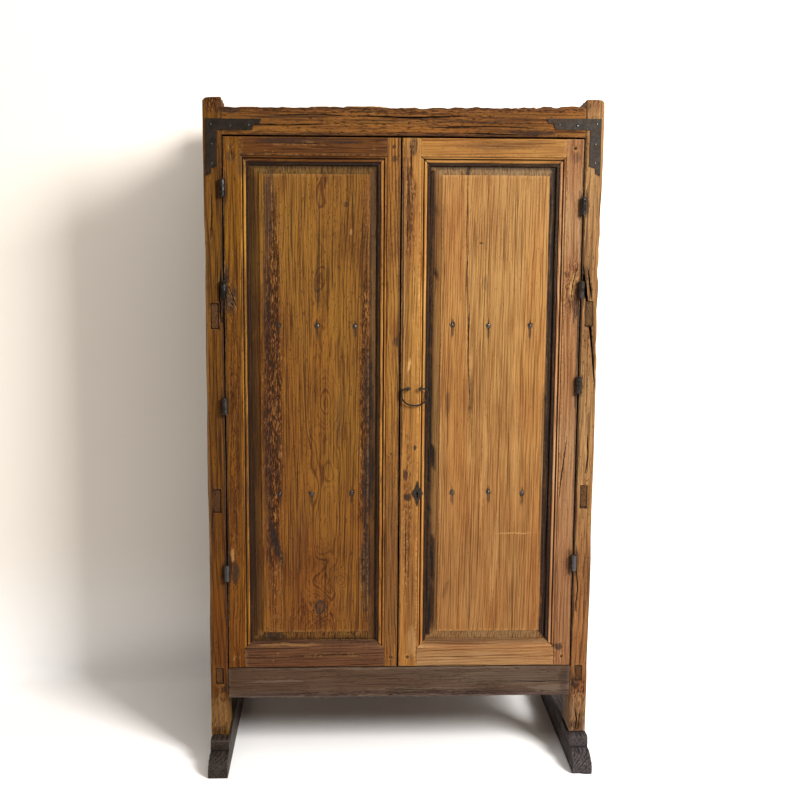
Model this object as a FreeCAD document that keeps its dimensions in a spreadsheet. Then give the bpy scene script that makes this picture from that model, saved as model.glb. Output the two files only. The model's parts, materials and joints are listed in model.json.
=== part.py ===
import FreeCAD, Part
import os
import re

import Sketcher

# Two-door pine cupboard on sledge runners, in millimetres.
# Frame: +Z up, +X to the viewer's right, front faces -Y, origin on the floor at
# the middle of the overall box. The runners' toes reach further forward than
# the front posts, so the front plane of the posts and doors lies at FRONT.

SIZES = {
    # carcass, overall
    "cupboard_width": (1020, "over the outer faces of the posts"),
    "cupboard_height": (1772, "floor to the front posts' top"),
    "carcass_depth": (480, "front posts' front face to the back"),
    "joint_gap": (0.2, "slack of a tenon in its mortise"),
    "tongue_gap": (0.4, "slack of a panel's edge in its groove"),
    # sledge runners
    "runner_width": (53, "across one runner"),
    "runner_height": (77, "floor to the runner's top"),
    "runner_toe": (93, "reach of the toe before the front posts"),
    "toe_block": (36, "reach of the toe's upper block"),
    "toe_block_height": (27, "upper block's front face"),
    "toe_nose_height": (26, "upright nose below the toe's round"),
    "toe_ledge": (11, "flat between the round and the block"),
    "toe_rise": (7, "bulge of the toe's round over its chord"),
    # posts
    "post_width": (47, "post across the front"),
    "front_post_depth": (91, "front post, front to back"),
    "back_post_depth": (70, "back post, front to back"),
    "post_fall": (10, "slope of the post's top towards the back"),
    "foot_tenon_length": (50, "post's tenon in the runner"),
    "foot_shoulder": (9, "shoulder round the foot tenon"),
    # front rails
    "top_rail_height": (79, "front face of the top rail at its right end"),
    "top_rail_fall": (9, "fall of the top rail's worn upper edge from right to left"),
    "top_rail_down": (97, "front posts' top to the top rail's lower edge"),
    "top_rail_depth": (42, "top rail, front to back"),
    "stop_lip": (12, "lip behind the doors' top edge"),
    "bottom_rail_top": (265, "floor to the bottom rail's upper edge"),
    "bottom_rail_height": (84, "front bottom rail"),
    "bottom_rail_depth": (27, "bottom rail, front to back"),
    "bottom_rail_setback": (1.5, "bottom rail behind the posts' face"),
    "front_tenon_length": (28, "front rails' tenons in the posts"),
    "front_tenon_thickness": (12, "front rails' tenons"),
    "front_tenon_inset": (9, "post's face to the front rails' tenons"),
    "top_tenon_height": (50, "top rail's tenon"),
    "bottom_tenon_height": (30, "bottom rail's tenon, under the side rail's"),
    "bottom_tenon_lift": (6, "bottom rail's lower edge to its tenon"),
    # side frames
    "side_rail_thickness": (26, "side rail"),
    "side_rail_inset": (10, "post's outer face to the side rail"),
    "side_tenon_inset": (15, "post's outer face to the through tenon"),
    "side_tenon_thickness": (19, "through tenon"),
    "stub_tenon_length": (34, "side rails' blind tenons"),
    "right_tenon_lift": (8, "the right through tenons sit this much higher"),
    "base_rail_height": (78, "lowest side rail"),
    "base_rail_bottom": (195, "floor to the lowest side rail"),
    "base_tenon_height": (43, "its tenon"),
    "base_tenon_lift": (27, "its lower edge to its tenon"),
    "lower_rail_height": (88, "side rail under the lower shelf"),
    "lower_rail_bottom": (688, "floor to that rail"),
    "lower_tenon_height": (63, "its tenon"),
    "lower_tenon_lift": (7, "its lower edge to its tenon"),
    "upper_rail_height": (94, "side rail under the upper shelf"),
    "upper_rail_down": (600, "front posts' top to that rail's lower edge"),
    "upper_tenon_height": (65, "its tenon"),
    "upper_tenon_lift": (11, "its lower edge to its tenon"),
    "head_rail_height": (64, "uppermost side rail"),
    "head_rail_down": (112, "front posts' top to that rail's lower edge"),
    "head_tenon_height": (48, "its tenon"),
    "head_tenon_lift": (8, "its lower edge to its tenon"),
    "panel_inset": (15, "post's outer face to the side panel"),
    "panel_thickness": (10, "side panel"),
    "groove_depth": (8, "grooves for the side panels"),
    # back
    "back_board_thickness": (14, "back board"),
    "back_board_gap": (1, "between back boards"),
    "back_board_lap": (9, "overlap of one back board on the next"),
    "back_lap_gap": (0.4, "between the two halves of a lap"),
    "back_board_bottom": (190, "floor to the back boards"),
    "back_board_down": (24, "front posts' top to the back boards' top"),
    "back_rail_height": (75, "back rail"),
    "back_rail_thickness": (26, "back rail"),
    "back_tenon_length": (25, "back rails' tenons"),
    "back_tenon_shoulder": (7, "shoulder round the back rails' tenons"),
    # boards that lie on the side rails
    "board_end_inset": (26.5, "post's outer face to a board's end"),
    "board_clearance": (1, "boards to posts, back boards and each other"),
    "floor_thickness": (20, "floor board"),
    "shelf_thickness": (22, "shelf"),
    "shelf_setback": (62, "front face to the shelves' front edge"),
    "top_board_thickness": (18, "top board"),
    # doors
    "door_thickness": (28, "door frame"),
    "hinge_gap": (3, "door to post"),
    "meeting_gap": (4, "between the doors"),
    "meeting_offset": (7, "the doors meet this far left of the middle"),
    "door_top_gap": (4, "door to top rail"),
    "door_bottom_gap": (3, "door to bottom rail"),
    "door_stop_gap": (0.8, "closed door to its stop"),
    "left_hinge_flat": (41, "left hinge stile without its moulding"),
    "left_meeting_flat": (34, "left meeting stile without its moulding"),
    "right_hinge_flat": (44, "right hinge stile without its moulding"),
    "right_meeting_flat": (48, "right meeting stile without its moulding"),
    "head_flat": (46, "doors' top rail without its moulding"),
    "sill_flat": (50, "doors' bottom rail without its chamfer"),
    "moulding_width": (24, "moulding on stiles and top rail"),
    "quirk_width": (1.6, "sinking beside a bead"),
    "quirk_depth": (3, "depth of the first sinking"),
    "small_bead_width": (4.6, "outer bead"),
    "small_bead_rise": (1.8, "outer bead's height"),
    "large_bead_width": (9.6, "middle bead"),
    "large_bead_rise": (3.9, "middle bead's height"),
    "large_bead_foot": (5.2, "depth of the middle bead's foot"),
    "fillet_depth": (4.6, "depth of the flat at the sight edge"),
    "chamfer_depth": (8, "bottom rail's chamfer at the sight edge"),
    "door_tenon_height": (34, "tenons of the doors' rails"),
    "door_tenon_inset": (11, "door face to its tenons and grooves"),
    "door_tenon_thickness": (7, "tenons and grooves"),
    "door_groove_depth": (9, "grooves for the doors' panels"),
    # door panels
    "field_depth": (5, "door face to the raised field"),
    "field_step": (2.2, "step at the field's edge"),
    "panel_back": (2.5, "panel behind its tongue"),
    "left_bevel_hinge": (25, "bevel at the left door's hinge side"),
    "left_bevel_meeting": (20, "bevel at its meeting side"),
    "right_bevel_hinge": (17, "bevel at the right door's hinge side"),
    "right_bevel_meeting": (31, "bevel at its meeting side"),
    "bevel_end": (22, "bevel at the panel's top and bottom"),
    "batten_height": (46, "batten behind a panel"),
    "batten_thickness": (17, "batten behind a panel"),
    "batten_chamfer": (6, "batten's chamfered edges"),
    "batten_end_gap": (3, "batten to the stiles"),
    "lower_batten": (748, "floor to the lower battens' middle"),
    "upper_batten_down": (581, "front posts' top to the upper battens' middle"),
    # pegs
    "peg_radius": (4.2, "oak peg, to its corners"),
    "peg_length": (24, "carcass peg"),
    "peg_gap": (0.1, "slack round a peg"),
    "door_peg_length": (26, "door peg"),
    # hinges: a barrel in two halves, the upper on the door
    "knuckle_radius": (7.4, "hinge barrel"),
    "knuckle_length": (22.5, "each half of a barrel"),
    "knuckle_split": (0.5, "between the halves"),
    "knuckle_round": (2.4, "slant of the barrel's outer ends"),
    "knuckle_standoff": (0.9, "barrel to the doors' front face"),
    "pin_radius": (3.2, "hinge pin"),
    "pin_gap": (0.06, "running clearance round the pin"),
    "pin_rise": (17, "pin in the upper half"),
    "leaf_thickness": (2, "leaf let into the edge"),
    "leaf_root": (5.2, "hinge axis to the leaf's start in the barrel"),
    "leaf_length": (26, "leaf in the wood"),
    "leaf_sink": (1.5, "leaf below the wood's edge"),
    "leaf_margin": (1.5, "leaf shorter than its half at each end"),
    "left_hinge_one": (532, "floor to the hinge's middle"),
    "left_hinge_two": (981, "floor to the hinge's middle"),
    "left_hinge_three": (488, "front posts' top to the hinge's middle"),
    "left_hinge_four": (229, "front posts' top to the hinge's middle"),
    "right_hinge_one": (556, "floor to the hinge's middle"),
    "right_hinge_two": (1037, "floor to the hinge's middle"),
    "right_hinge_three": (485, "front posts' top to the hinge's middle"),
    "right_hinge_four": (270, "front posts' top to the hinge's middle"),
    # corner irons
    "iron_thickness": (2.6, "corner iron"),
    "iron_width": (28, "arm of a corner iron"),
    "iron_across": (141, "arm along the top rail"),
    "iron_down": (143, "arm down the post"),
    "iron_inset": (7.5, "post's outer face to the iron"),
    "iron_nib": (19, "nib at each arm's end"),
    "iron_step": (12.6, "width of the nib"),
    "iron_slant": (6.3, "slant of the nib's tip"),
    "iron_hook": (4.8, "slant of the arm's end beside the nib"),
    "left_iron_down": (57, "front posts' top to the left iron's top"),
    "right_iron_down": (50, "front posts' top to the right iron's top"),
    # drop handle
    "bail_height": (1027.5, "floor to the handle's pivots"),
    "bail_middle": (36.3, "right door's meeting edge to the handle's middle"),
    "eye_half_span": (17, "handle's middle to an eye"),
    "eye_radius": (4.8, "eye, to the middle of its wire"),
    "eye_wire": (1.9, "radius of the eye's eight-sided wire"),
    "eye_standoff": (8.5, "door face to the pivots"),
    "eye_shank": (20, "eye's shank in the stile"),
    "bail_wire": (2.3, "radius of the handle's eight-sided wire"),
    "bail_half_width": (35.5, "handle's middle to its side"),
    "bail_drop": (44, "pivots to the bottom of the handle"),
    "bail_shoulder": (23, "handle's middle to where it bends"),
    "bail_end": (12, "handle's middle to the wire's ends"),
    "bail_knob_radius": (3.6, "upset end of the wire"),
    "bail_knob_length": (3, "upset end of the wire"),
    # lock
    "escutcheon_width": (31, "lozenge plate"),
    "escutcheon_height": (71, "lozenge plate"),
    "escutcheon_thickness": (1.5, "lozenge plate"),
    "escutcheon_waist": (4, "notch in each side of the lozenge"),
    "keyhole_height": (746, "floor to the keyhole"),
    "keyhole_inset": (46.5, "meeting edge to the keyhole"),
    "keyhole_radius": (3.2, "keyhole"),
    "keyhole_slot": (3, "width of the keyhole's slot"),
    "keyhole_drop": (11, "length of the keyhole's slot"),
    "lock_width": (62, "lock case"),
    "lock_height": (84, "lock case"),
    "lock_depth": (15, "lock case"),
    "lock_inset": (1.5, "meeting edge to the lock case"),
    "bolt_thickness": (6, "lock bolt"),
    "bolt_height": (18, "lock bolt"),
    "bolt_length": (44, "lock bolt"),
    "bolt_gap": (0.4, "clearance round the bolt"),
    "bolt_inset": (4, "lock case's back to the bolt's channel"),
    "bolt_lift": (10, "keyhole to the bolt's middle"),
    "bolt_sunk": (1, "withdrawn bolt behind the case's edge"),
}

LEFT = -1
RIGHT = 1
SIDE_NAMES = {LEFT: "left", RIGHT: "right"}

# Places that several pieces share, as formulas over the sheet's sizes.
FRONT = "((runner_toe - carcass_depth) / 2)"
TOE = f"({FRONT} - runner_toe)"
BACK = f"({FRONT} + carcass_depth)"
RUNNER_LENGTH = "(carcass_depth + runner_toe)"
SIDE_RAIL_LENGTH = "(carcass_depth - front_post_depth - back_post_depth)"
OPENING_WIDTH = "(cupboard_width - 2 * post_width)"
TOP_RAIL_BOTTOM = "(cupboard_height - top_rail_down)"
BACK_BOARD_TOP = "(cupboard_height - back_board_down)"
DOOR_BOTTOM = "(bottom_rail_top + door_bottom_gap)"
DOOR_HEIGHT = f"({TOP_RAIL_BOTTOM} - door_top_gap - {DOOR_BOTTOM})"
DOOR_EDGE = "(cupboard_width / 2 - post_width - hinge_gap)"
DOOR_WIDTH = {
    LEFT: f"({DOOR_EDGE} - meeting_offset - meeting_gap / 2)",
    RIGHT: f"({DOOR_EDGE} + meeting_offset - meeting_gap / 2)",
}
HINGE_FLAT = {LEFT: "left_hinge_flat", RIGHT: "right_hinge_flat"}
MEETING_FLAT = {LEFT: "left_meeting_flat", RIGHT: "right_meeting_flat"}
SIGHT_HINGE = {side: f"({HINGE_FLAT[side]} + moulding_width)" for side in (LEFT, RIGHT)}
SIGHT_MEETING = {
    side: f"({DOOR_WIDTH[side]} - {MEETING_FLAT[side]} - moulding_width)"
    for side in (LEFT, RIGHT)
}
SIGHT_BOTTOM = "(sill_flat + moulding_width)"
SIGHT_TOP = f"({DOOR_HEIGHT} - head_flat - moulding_width)"
TENON_BACK = "(door_tenon_inset + door_tenon_thickness)"
HINGE_HEIGHTS = {
    side: [f"{name}_hinge_one", f"{name}_hinge_two",
           f"(cupboard_height - {name}_hinge_three)", f"(cupboard_height - {name}_hinge_four)"]
    for side, name in SIDE_NAMES.items()
}
HINGE_AXIS_X = "(cupboard_width / 2 - post_width - hinge_gap / 2)"
KNUCKLE_OUT = "(knuckle_radius + knuckle_standoff)"
RAIL_BOTTOMS = {
    "base": "base_rail_bottom",
    "lower": "lower_rail_bottom",
    "upper": "(cupboard_height - upper_rail_down)",
    "head": "(cupboard_height - head_rail_down)",
}
RAIL_TOPS = {name: f"({low} + {name}_rail_height)" for name, low in RAIL_BOTTOMS.items()}
BLIND_MORTISE = "(stub_tenon_length + board_clearance)"
THROUGH_TENONS = ("base", "lower", "upper")
RAISED_TENONS = ("lower", "upper")
PANEL_BAYS = {"bottom": ("base", "lower"), "middle": ("lower", "upper"), "top": ("upper", "head")}
BATTEN_HEIGHTS = {"lower": "lower_batten", "upper": "(cupboard_height - upper_batten_down)"}
BACK_BOARDS = ("left", "middle", "right")

doc = FreeCAD.newDocument("Cupboard")
sheet = doc.addObject("Spreadsheet::Sheet", "Sizes")
for row, (alias, (value, meaning)) in enumerate(SIZES.items(), start=1):
    sheet.set(f"A{row}", alias)
    sheet.set(f"B{row}", str(value))
    sheet.setAlias(f"B{row}", alias)
    sheet.set(f"C{row}", meaning)
doc.recompute()

nodes = []


def bound(formula):
    """The formula with every size's name pointing at the sheet."""
    return re.sub(r"[a-z][a-z_]*_[a-z_]+", lambda word: "Sizes." + word.group(), formula)


def number(formula):
    """The formula's value with the sheet's present sizes."""
    return float(sheet.evalExpression(formula))


def across(side, formula):
    """A distance towards the cupboard's middle from an outer left or right edge."""
    return formula if side == LEFT else f"(-({formula}))"


def new_body(label, x="0", y="0", z="0"):
    """A body for one sub-part, placed at formulas over the sheet."""
    body = doc.addObject("PartDesign::Body", label)
    body.Label = label
    for axis, formula in zip("xyz", (x, y, z)):
        body.setExpression(f"Placement.Base.{axis}", bound(formula))
    nodes.append(body)
    return body


def sketch_on(body, role, offset, loops):
    """A sketch of closed loops on one of the body's own origin planes.

    Each loop is a list of points (x, y) or (x, y, rise): a rise makes the edge that
    leaves the point an arc, standing that far to the right of its chord.
    """
    sketch = body.newObject("Sketcher::SketchObject", body.Label + "_sketch")
    plane = [feature for feature in body.Origin.OriginFeatures if feature.Role == role][0]
    sketch.AttachmentSupport = [(plane, "")]
    sketch.MapMode = "FlatFace"
    if offset != "0":
        sketch.setExpression("AttachmentOffset.Base.z", bound(offset))
    for loop in loops:
        add_loop(sketch, loop)
    return sketch


def add_loop(sketch, loop, closed=True):
    """A loop or path of lines and arcs, held by its points and the arcs' radii."""
    points = [FreeCAD.Vector(number(point[0]), number(point[1]), 0) for point in loop]
    first = sketch.GeometryCount
    edges = loop if closed else loop[:-1]
    starts = []
    for index, point in enumerate(edges):
        start, end = points[index], points[(index + 1) % len(loop)]
        edge = Part.LineSegment(start, end)
        if len(point) == 3:
            outward = FreeCAD.Vector(end.y - start.y, start.x - end.x, 0).normalize()
            edge = Part.Arc(start, (start + end) / 2 + outward * number(point[2]), end)
        sketch.addGeometry(edge, False)
        # A sketch's arcs run anticlockwise, so an arc may start at either point.
        first_end = sketch.getPoint(first + index, 1)
        starts.append(1 if first_end.distanceToPoint(start) < first_end.distanceToPoint(end) else 2)
    for index, point in enumerate(edges):
        following = (index + 1) % len(loop)
        here = first + index
        if following < len(edges):
            sketch.addConstraint(Sketcher.Constraint("Coincident", here, 3 - starts[index],
                                                     first + following, starts[following]))
        else:
            hold(sketch, "DistanceX", (-1, 1, here, 3 - starts[index]), loop[following][0])
            hold(sketch, "DistanceY", (-1, 1, here, 3 - starts[index]), loop[following][1])
        hold(sketch, "DistanceX", (-1, 1, here, starts[index]), point[0])
        hold(sketch, "DistanceY", (-1, 1, here, starts[index]), point[1])
        if len(point) == 3:
            after = loop[following]
            chord_squared = f"(({after[0]} - {point[0]})^2 + ({after[1]} - {point[1]})^2)"
            rise_squared = f"({point[2]})^2"
            radius = f"({chord_squared} / 4 + {rise_squared}) / (2 * sqrt({rise_squared}))"
            hold(sketch, "Radius", (here,), radius)


def hold(sketch, kind, where, formula):
    """A dimension of the sketch, bound to a formula over the sheet."""
    place = sketch.addConstraint(Sketcher.Constraint(kind, *where, number(formula)))
    sketch.setExpression(f"Constraints[{place}]", bound(formula))


def feature(body, kind, sketch, length, reverse):
    """A pad or pocket of the sketch, checked to have changed the body's volume."""
    before = body.Shape.Volume if body.Tip else 0.0
    made = body.newObject(f"PartDesign::{kind}", f"{body.Label}_{kind}")
    made.Profile = sketch
    made.setExpression("Length", bound(length))
    made.Reversed = reverse
    doc.recompute()
    gained = made.Shape.Volume - before
    if (gained > 0) != (kind == "Pad") or abs(gained) < 1e-3:
        raise RuntimeError(f"{made.Label} changes nothing: {gained:.3f}")
    return made


def rectangle(low_x, low_y, high_x, high_y):
    """A rectangle's four points."""
    return [(low_x, low_y), (high_x, low_y), (high_x, high_y), (low_x, high_y)]


def circle_loop(sketch, x, y, radius):
    """A circle held by its middle and radius."""
    middle = FreeCAD.Vector(number(x), number(y), 0)
    circle = sketch.addGeometry(Part.Circle(middle, FreeCAD.Vector(0, 0, 1), number(radius)), False)
    hold(sketch, "DistanceX", (-1, 1, circle, 3), x)
    hold(sketch, "DistanceY", (-1, 1, circle, 3), y)
    hold(sketch, "Radius", (circle,), radius)


def octagon(x, y, radius):
    """Eight corners at the radius round a middle, with flats to all four sides."""
    return [(f"({x} + {radius} * cos({angle}))", f"({y} + {radius} * sin({angle}))")
            for angle in (turn * 45 + 22.5 for turn in range(8))]


def pad_up(body, loops, length, offset="0"):
    """A pad of XY outlines, upwards from the offset."""
    return feature(body, "Pad", sketch_on(body, "XY_Plane", offset, loops), length, False)


def pad_back(body, loops, length, offset="0"):
    """A pad of XZ outlines, towards the back from the offset's distance behind the plane."""
    sketch = sketch_on(body, "XZ_Plane", f"(-({offset}))" if offset != "0" else "0", loops)
    return feature(body, "Pad", sketch, length, True)


def pad_right(body, loops, length, offset="0", reverse=False):
    """A pad of YZ outlines, to the right from the offset (or to the left)."""
    return feature(body, "Pad", sketch_on(body, "YZ_Plane", offset, loops), length, reverse)


def cut_up(body, loops, length, offset="0"):
    """A pocket of XY outlines, upwards from the offset."""
    return feature(body, "Pocket", sketch_on(body, "XY_Plane", offset, loops), length, True)


def cut_back(body, loops, length, offset="0"):
    """A pocket of XZ outlines, towards the back."""
    sketch = sketch_on(body, "XZ_Plane", f"(-({offset}))" if offset != "0" else "0", loops)
    return feature(body, "Pocket", sketch, length, False)


def cut_across(body, side, loops, length, offset="0"):
    """A pocket of YZ outlines, from the offset towards the cupboard's middle."""
    sketch = sketch_on(body, "YZ_Plane", across(side, offset), loops)
    return feature(body, "Pocket", sketch, length, side == LEFT)


def pad_across(body, side, loops, length, offset="0"):
    """A pad of YZ outlines, from the offset towards the cupboard's middle."""
    return pad_right(body, loops, length, across(side, offset), side == RIGHT)


def drill_back(body, places, radius, length, offset="0"):
    """Round holes towards the back, at (x, z) places."""
    sketch = sketch_on(body, "XZ_Plane", f"(-({offset}))" if offset != "0" else "0", [])
    for x, z in places:
        circle_loop(sketch, x, z, radius)
    return feature(body, "Pocket", sketch, length, False)


def outer_x(side):
    """X of the cupboard's outer left or right face."""
    return "(-cupboard_width / 2)" if side == LEFT else "(cupboard_width / 2)"


def side_tenon(side, name, at_front):
    """Lower and upper edge of a side rail's front or back tenon."""
    raised = "right_tenon_lift" if at_front and side == RIGHT and name in RAISED_TENONS else "0"
    low = f"({RAIL_BOTTOMS[name]} + {name}_tenon_lift + {raised})"
    return low, f"({low} + {name}_tenon_height)"


def panel_groove(side):
    """The two edges, across the cupboard, of the grooves for a side's panels."""
    return (across(side, "(panel_inset - tongue_gap)"),
            across(side, "(panel_inset + panel_thickness + tongue_gap)"))


# ---------------------------------------------------------------- carcass

FOOT_TENON = {
    # post: its front face and depth
    "front": (FRONT, "front_post_depth"),
    "back": (f"({BACK} - back_post_depth)", "back_post_depth"),
}


def runner(side):
    """A sledge runner: a plank on edge with a stepped and rounded toe."""
    body = new_body(f"{SIDE_NAMES[side]}_runner", outer_x(side), TOE, "0")
    block_front = "(runner_toe - toe_block)"
    ledge = "(runner_height - toe_block_height)"
    profile = [
        ("0", "0"), (RUNNER_LENGTH, "0"), (RUNNER_LENGTH, "runner_height"),
        (block_front, "runner_height"), (block_front, ledge),
        (f"({block_front} - toe_ledge)", ledge, "toe_rise"), ("0", "toe_nose_height"),
    ]
    pad_across(body, side, [profile], "runner_width")
    for front, depth in FOOT_TENON.values():
        start = f"({front} - {TOE} + foot_shoulder - joint_gap)"
        end = f"({front} - {TOE} + {depth} - foot_shoulder + joint_gap)"
        mortise = rectangle(across(side, "(foot_shoulder - joint_gap)"), start,
                            across(side, "(post_width - foot_shoulder + joint_gap)"), end)
        cut_up(body, [mortise], "(foot_tenon_length + 1)", "(runner_height - foot_tenon_length - 1)")


def post(side, name):
    """A front or back post with its foot tenon, sloped top and the mortises of its rails."""
    front, depth = FOOT_TENON[name]
    body = new_body(f"{SIDE_NAMES[side]}_{name}_post", outer_x(side), front, "0")
    top = "cupboard_height" if name == "front" else "(cupboard_height - post_fall)"
    plan = rectangle("0", "0", across(side, "post_width"), depth)
    pad_up(body, [plan], f"({top} - runner_height)", "runner_height")
    tenon = rectangle(across(side, "foot_shoulder"), "foot_shoulder",
                      across(side, "(post_width - foot_shoulder)"), f"({depth} - foot_shoulder)")
    pad_up(body, [tenon], "foot_tenon_length", "(runner_height - foot_tenon_length)")
    slope = [("0", top), (depth, f"({top} - post_fall)"), (depth, f"({top} + 1)"), ("0", f"({top} + 1)")]
    cut_across(body, side, [slope], "post_width")
    side_rail_mortises(body, side, name == "front", depth)
    if name == "front":
        front_rail_mortises(body, side)
        leaf_recesses(body, side, False, "0", "(post_width - leaf_sink)")
    else:
        back_rail_mortises(body, side)


def side_rail_mortises(body, side, at_front, depth):
    """A post's groove for the side panels and its mortises for the side rails."""
    left, right = panel_groove(side)
    groove = rectangle(left, f"({RAIL_BOTTOMS['base']} + base_rail_height / 2)",
                       right, f"({RAIL_BOTTOMS['head']} + head_rail_height / 2)")
    cut_back(body, [groove], "groove_depth", f"({depth} - groove_depth)" if at_front else "0")
    for rail in RAIL_BOTTOMS:
        low, high = side_tenon(side, rail, at_front)
        slot = rectangle(across(side, "(side_tenon_inset - joint_gap)"), f"({low} - joint_gap)",
                         across(side, "(side_tenon_inset + side_tenon_thickness + joint_gap)"),
                         f"({high} + joint_gap)")
        if at_front and rail in THROUGH_TENONS:
            cut_back(body, [slot], depth)
        elif at_front:
            cut_back(body, [slot], BLIND_MORTISE, f"({depth} - {BLIND_MORTISE})")
        else:
            cut_back(body, [slot], BLIND_MORTISE)


def front_rail_mortises(body, side):
    """Blind mortises for the two front rails, and the peg holes through them."""
    for low, height, setback in front_tenons():
        start = f"(front_tenon_inset + {setback} - joint_gap)"
        end = f"(front_tenon_inset + {setback} + front_tenon_thickness + joint_gap)"
        slot = rectangle(start, f"({low} - joint_gap)", end, f"({low} + {height} + joint_gap)")
        cut_across(body, side, [slot], "(front_tenon_length + 1)", "(post_width - front_tenon_length - 1)")
    holes = [(across(side, "(post_width - front_tenon_length / 2)"), z) for z in carcass_peg_heights()]
    drill_back(body, holes, "(peg_radius + peg_gap)", "(peg_length + 1)")


def front_tenons():
    """Lower edge, height and setback of the top and bottom front rails' tenons."""
    return [
        (f"({TOP_RAIL_BOTTOM} + (top_rail_height - top_rail_fall - top_tenon_height) / 2)",
         "top_tenon_height", "0"),
        ("(bottom_rail_top - bottom_rail_height + bottom_tenon_lift)", "bottom_tenon_height",
         "bottom_rail_setback"),
    ]


def carcass_peg_heights():
    """Floor to the pegs through the front rails' tenons."""
    return [f"({low} + {height} / 2)" for low, height, setback in front_tenons()]


def back_tenons():
    """Lower edge and height of the two back rails."""
    return [("back_board_bottom", "back_rail_height"),
            (f"({BACK_BOARD_TOP} - back_rail_height)", "back_rail_height")]


def back_rail_mortises(body, side):
    """Blind mortises for the back rails."""
    rail_front = "(back_post_depth - back_board_thickness - back_rail_thickness)"
    for low, height in back_tenons():
        slot = rectangle(f"({rail_front} + back_tenon_shoulder - joint_gap)",
                         f"({low} + back_tenon_shoulder - joint_gap)",
                         f"({rail_front} + back_rail_thickness - back_tenon_shoulder + joint_gap)",
                         f"({low} + {height} - back_tenon_shoulder + joint_gap)")
        cut_across(body, side, [slot], "(back_tenon_length + 1)", "(post_width - back_tenon_length - 1)")


def front_rail(label, bottom, profile, setback, tenon):
    """A front rail: a section run between the posts, with a tenon and peg hole at each end."""
    body = new_body(label, "(-cupboard_width / 2 + post_width)", f"({FRONT} + {setback})", bottom)
    pad_right(body, [profile], OPENING_WIDTH)
    low, tenon_height, _ = tenon
    tenon_loop = rectangle("front_tenon_inset", f"({low} - {bottom})",
                           "(front_tenon_inset + front_tenon_thickness)",
                           f"({low} + {tenon_height} - {bottom})")
    pad_right(body, [tenon_loop], "front_tenon_length", "(-front_tenon_length)")
    pad_right(body, [tenon_loop], "front_tenon_length", OPENING_WIDTH)
    middle = f"({low} + {tenon_height} / 2 - {bottom})"
    holes = [("(-front_tenon_length / 2)", middle), (f"({OPENING_WIDTH} + front_tenon_length / 2)", middle)]
    drill_back(body, holes, "(peg_radius + peg_gap)", "(peg_length + 1)")
    return body


def front_rails():
    """The top rail, rebated to stop the doors and lower to the left, and the plain bottom rail."""
    rebate = "(door_thickness + door_stop_gap)"
    top_profile = [("0", "0"), (rebate, "0"), (rebate, "(-stop_lip)"), ("top_rail_depth", "(-stop_lip)"),
                   ("top_rail_depth", "top_rail_height"), ("0", "top_rail_height")]
    top_rail = front_rail("front_top_rail", TOP_RAIL_BOTTOM, top_profile, "0", front_tenons()[0])
    worn_away = [("0", "(top_rail_height - top_rail_fall)"), (OPENING_WIDTH, "top_rail_height"),
                 ("0", "top_rail_height")]
    cut_back(top_rail, [worn_away], "top_rail_depth")
    bottom_profile = rectangle("0", "0", "bottom_rail_depth", "bottom_rail_height")
    front_rail("front_bottom_rail", "(bottom_rail_top - bottom_rail_height)", bottom_profile,
               "bottom_rail_setback", front_tenons()[1])


def back_rails():
    """The two rails that carry the back boards."""
    for label, (low, height) in zip(("back_bottom_rail", "back_top_rail"), back_tenons()):
        body = new_body(label, "(-cupboard_width / 2 + post_width)",
                        f"({BACK} - back_board_thickness - back_rail_thickness)", low)
        pad_right(body, [rectangle("0", "0", "back_rail_thickness", height)], OPENING_WIDTH)
        tenon = rectangle("back_tenon_shoulder", "back_tenon_shoulder",
                          "(back_rail_thickness - back_tenon_shoulder)", f"({height} - back_tenon_shoulder)")
        pad_right(body, [tenon], "back_tenon_length", "(-back_tenon_length)")
        pad_right(body, [tenon], "back_tenon_length", OPENING_WIDTH)


def side_rail(side, name):
    """A side rail, grooved for the panels, with a through tenon in front and a blind one behind."""
    bottom, height = RAIL_BOTTOMS[name], f"{name}_rail_height"
    body = new_body(f"{SIDE_NAMES[side]}_{name}_side_rail", outer_x(side),
                    f"({FRONT} + front_post_depth)", bottom)
    section = rectangle(across(side, "side_rail_inset"), "0",
                        across(side, "(side_rail_inset + side_rail_thickness)"), height)
    pad_back(body, [section], SIDE_RAIL_LENGTH)
    front_length = "front_post_depth" if name in THROUGH_TENONS else "stub_tenon_length"
    for at_front, length, start in ((True, front_length, f"(-{front_length})"),
                                    (False, "stub_tenon_length", SIDE_RAIL_LENGTH)):
        low, high = side_tenon(side, name, at_front)
        tenon = rectangle(across(side, "side_tenon_inset"), f"({low} - {bottom})",
                          across(side, "(side_tenon_inset + side_tenon_thickness)"), f"({high} - {bottom})")
        pad_back(body, [tenon], length, start)
    left, right = panel_groove(side)
    groove = rectangle(left, "0", right, SIDE_RAIL_LENGTH)
    if name != "head":
        cut_up(body, [groove], "groove_depth", f"({height} - groove_depth)")
    if name != "base":
        cut_up(body, [groove], "groove_depth")


def side_panel(side, name):
    """A plain board held in the grooves of two side rails and two posts."""
    below, above = PANEL_BAYS[name]
    tongue = "(groove_depth - board_clearance)"
    bottom = f"({RAIL_TOPS[below]} - {tongue})"
    height = f"({RAIL_BOTTOMS[above]} + {tongue} - {bottom})"
    body = new_body(f"{SIDE_NAMES[side]}_{name}_side_panel", outer_x(side),
                    f"({FRONT} + front_post_depth - {tongue})", bottom)
    section = rectangle(across(side, "panel_inset"), "0",
                        across(side, "(panel_inset + panel_thickness)"), height)
    pad_back(body, [section], f"({SIDE_RAIL_LENGTH} + 2 * {tongue})")


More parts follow.
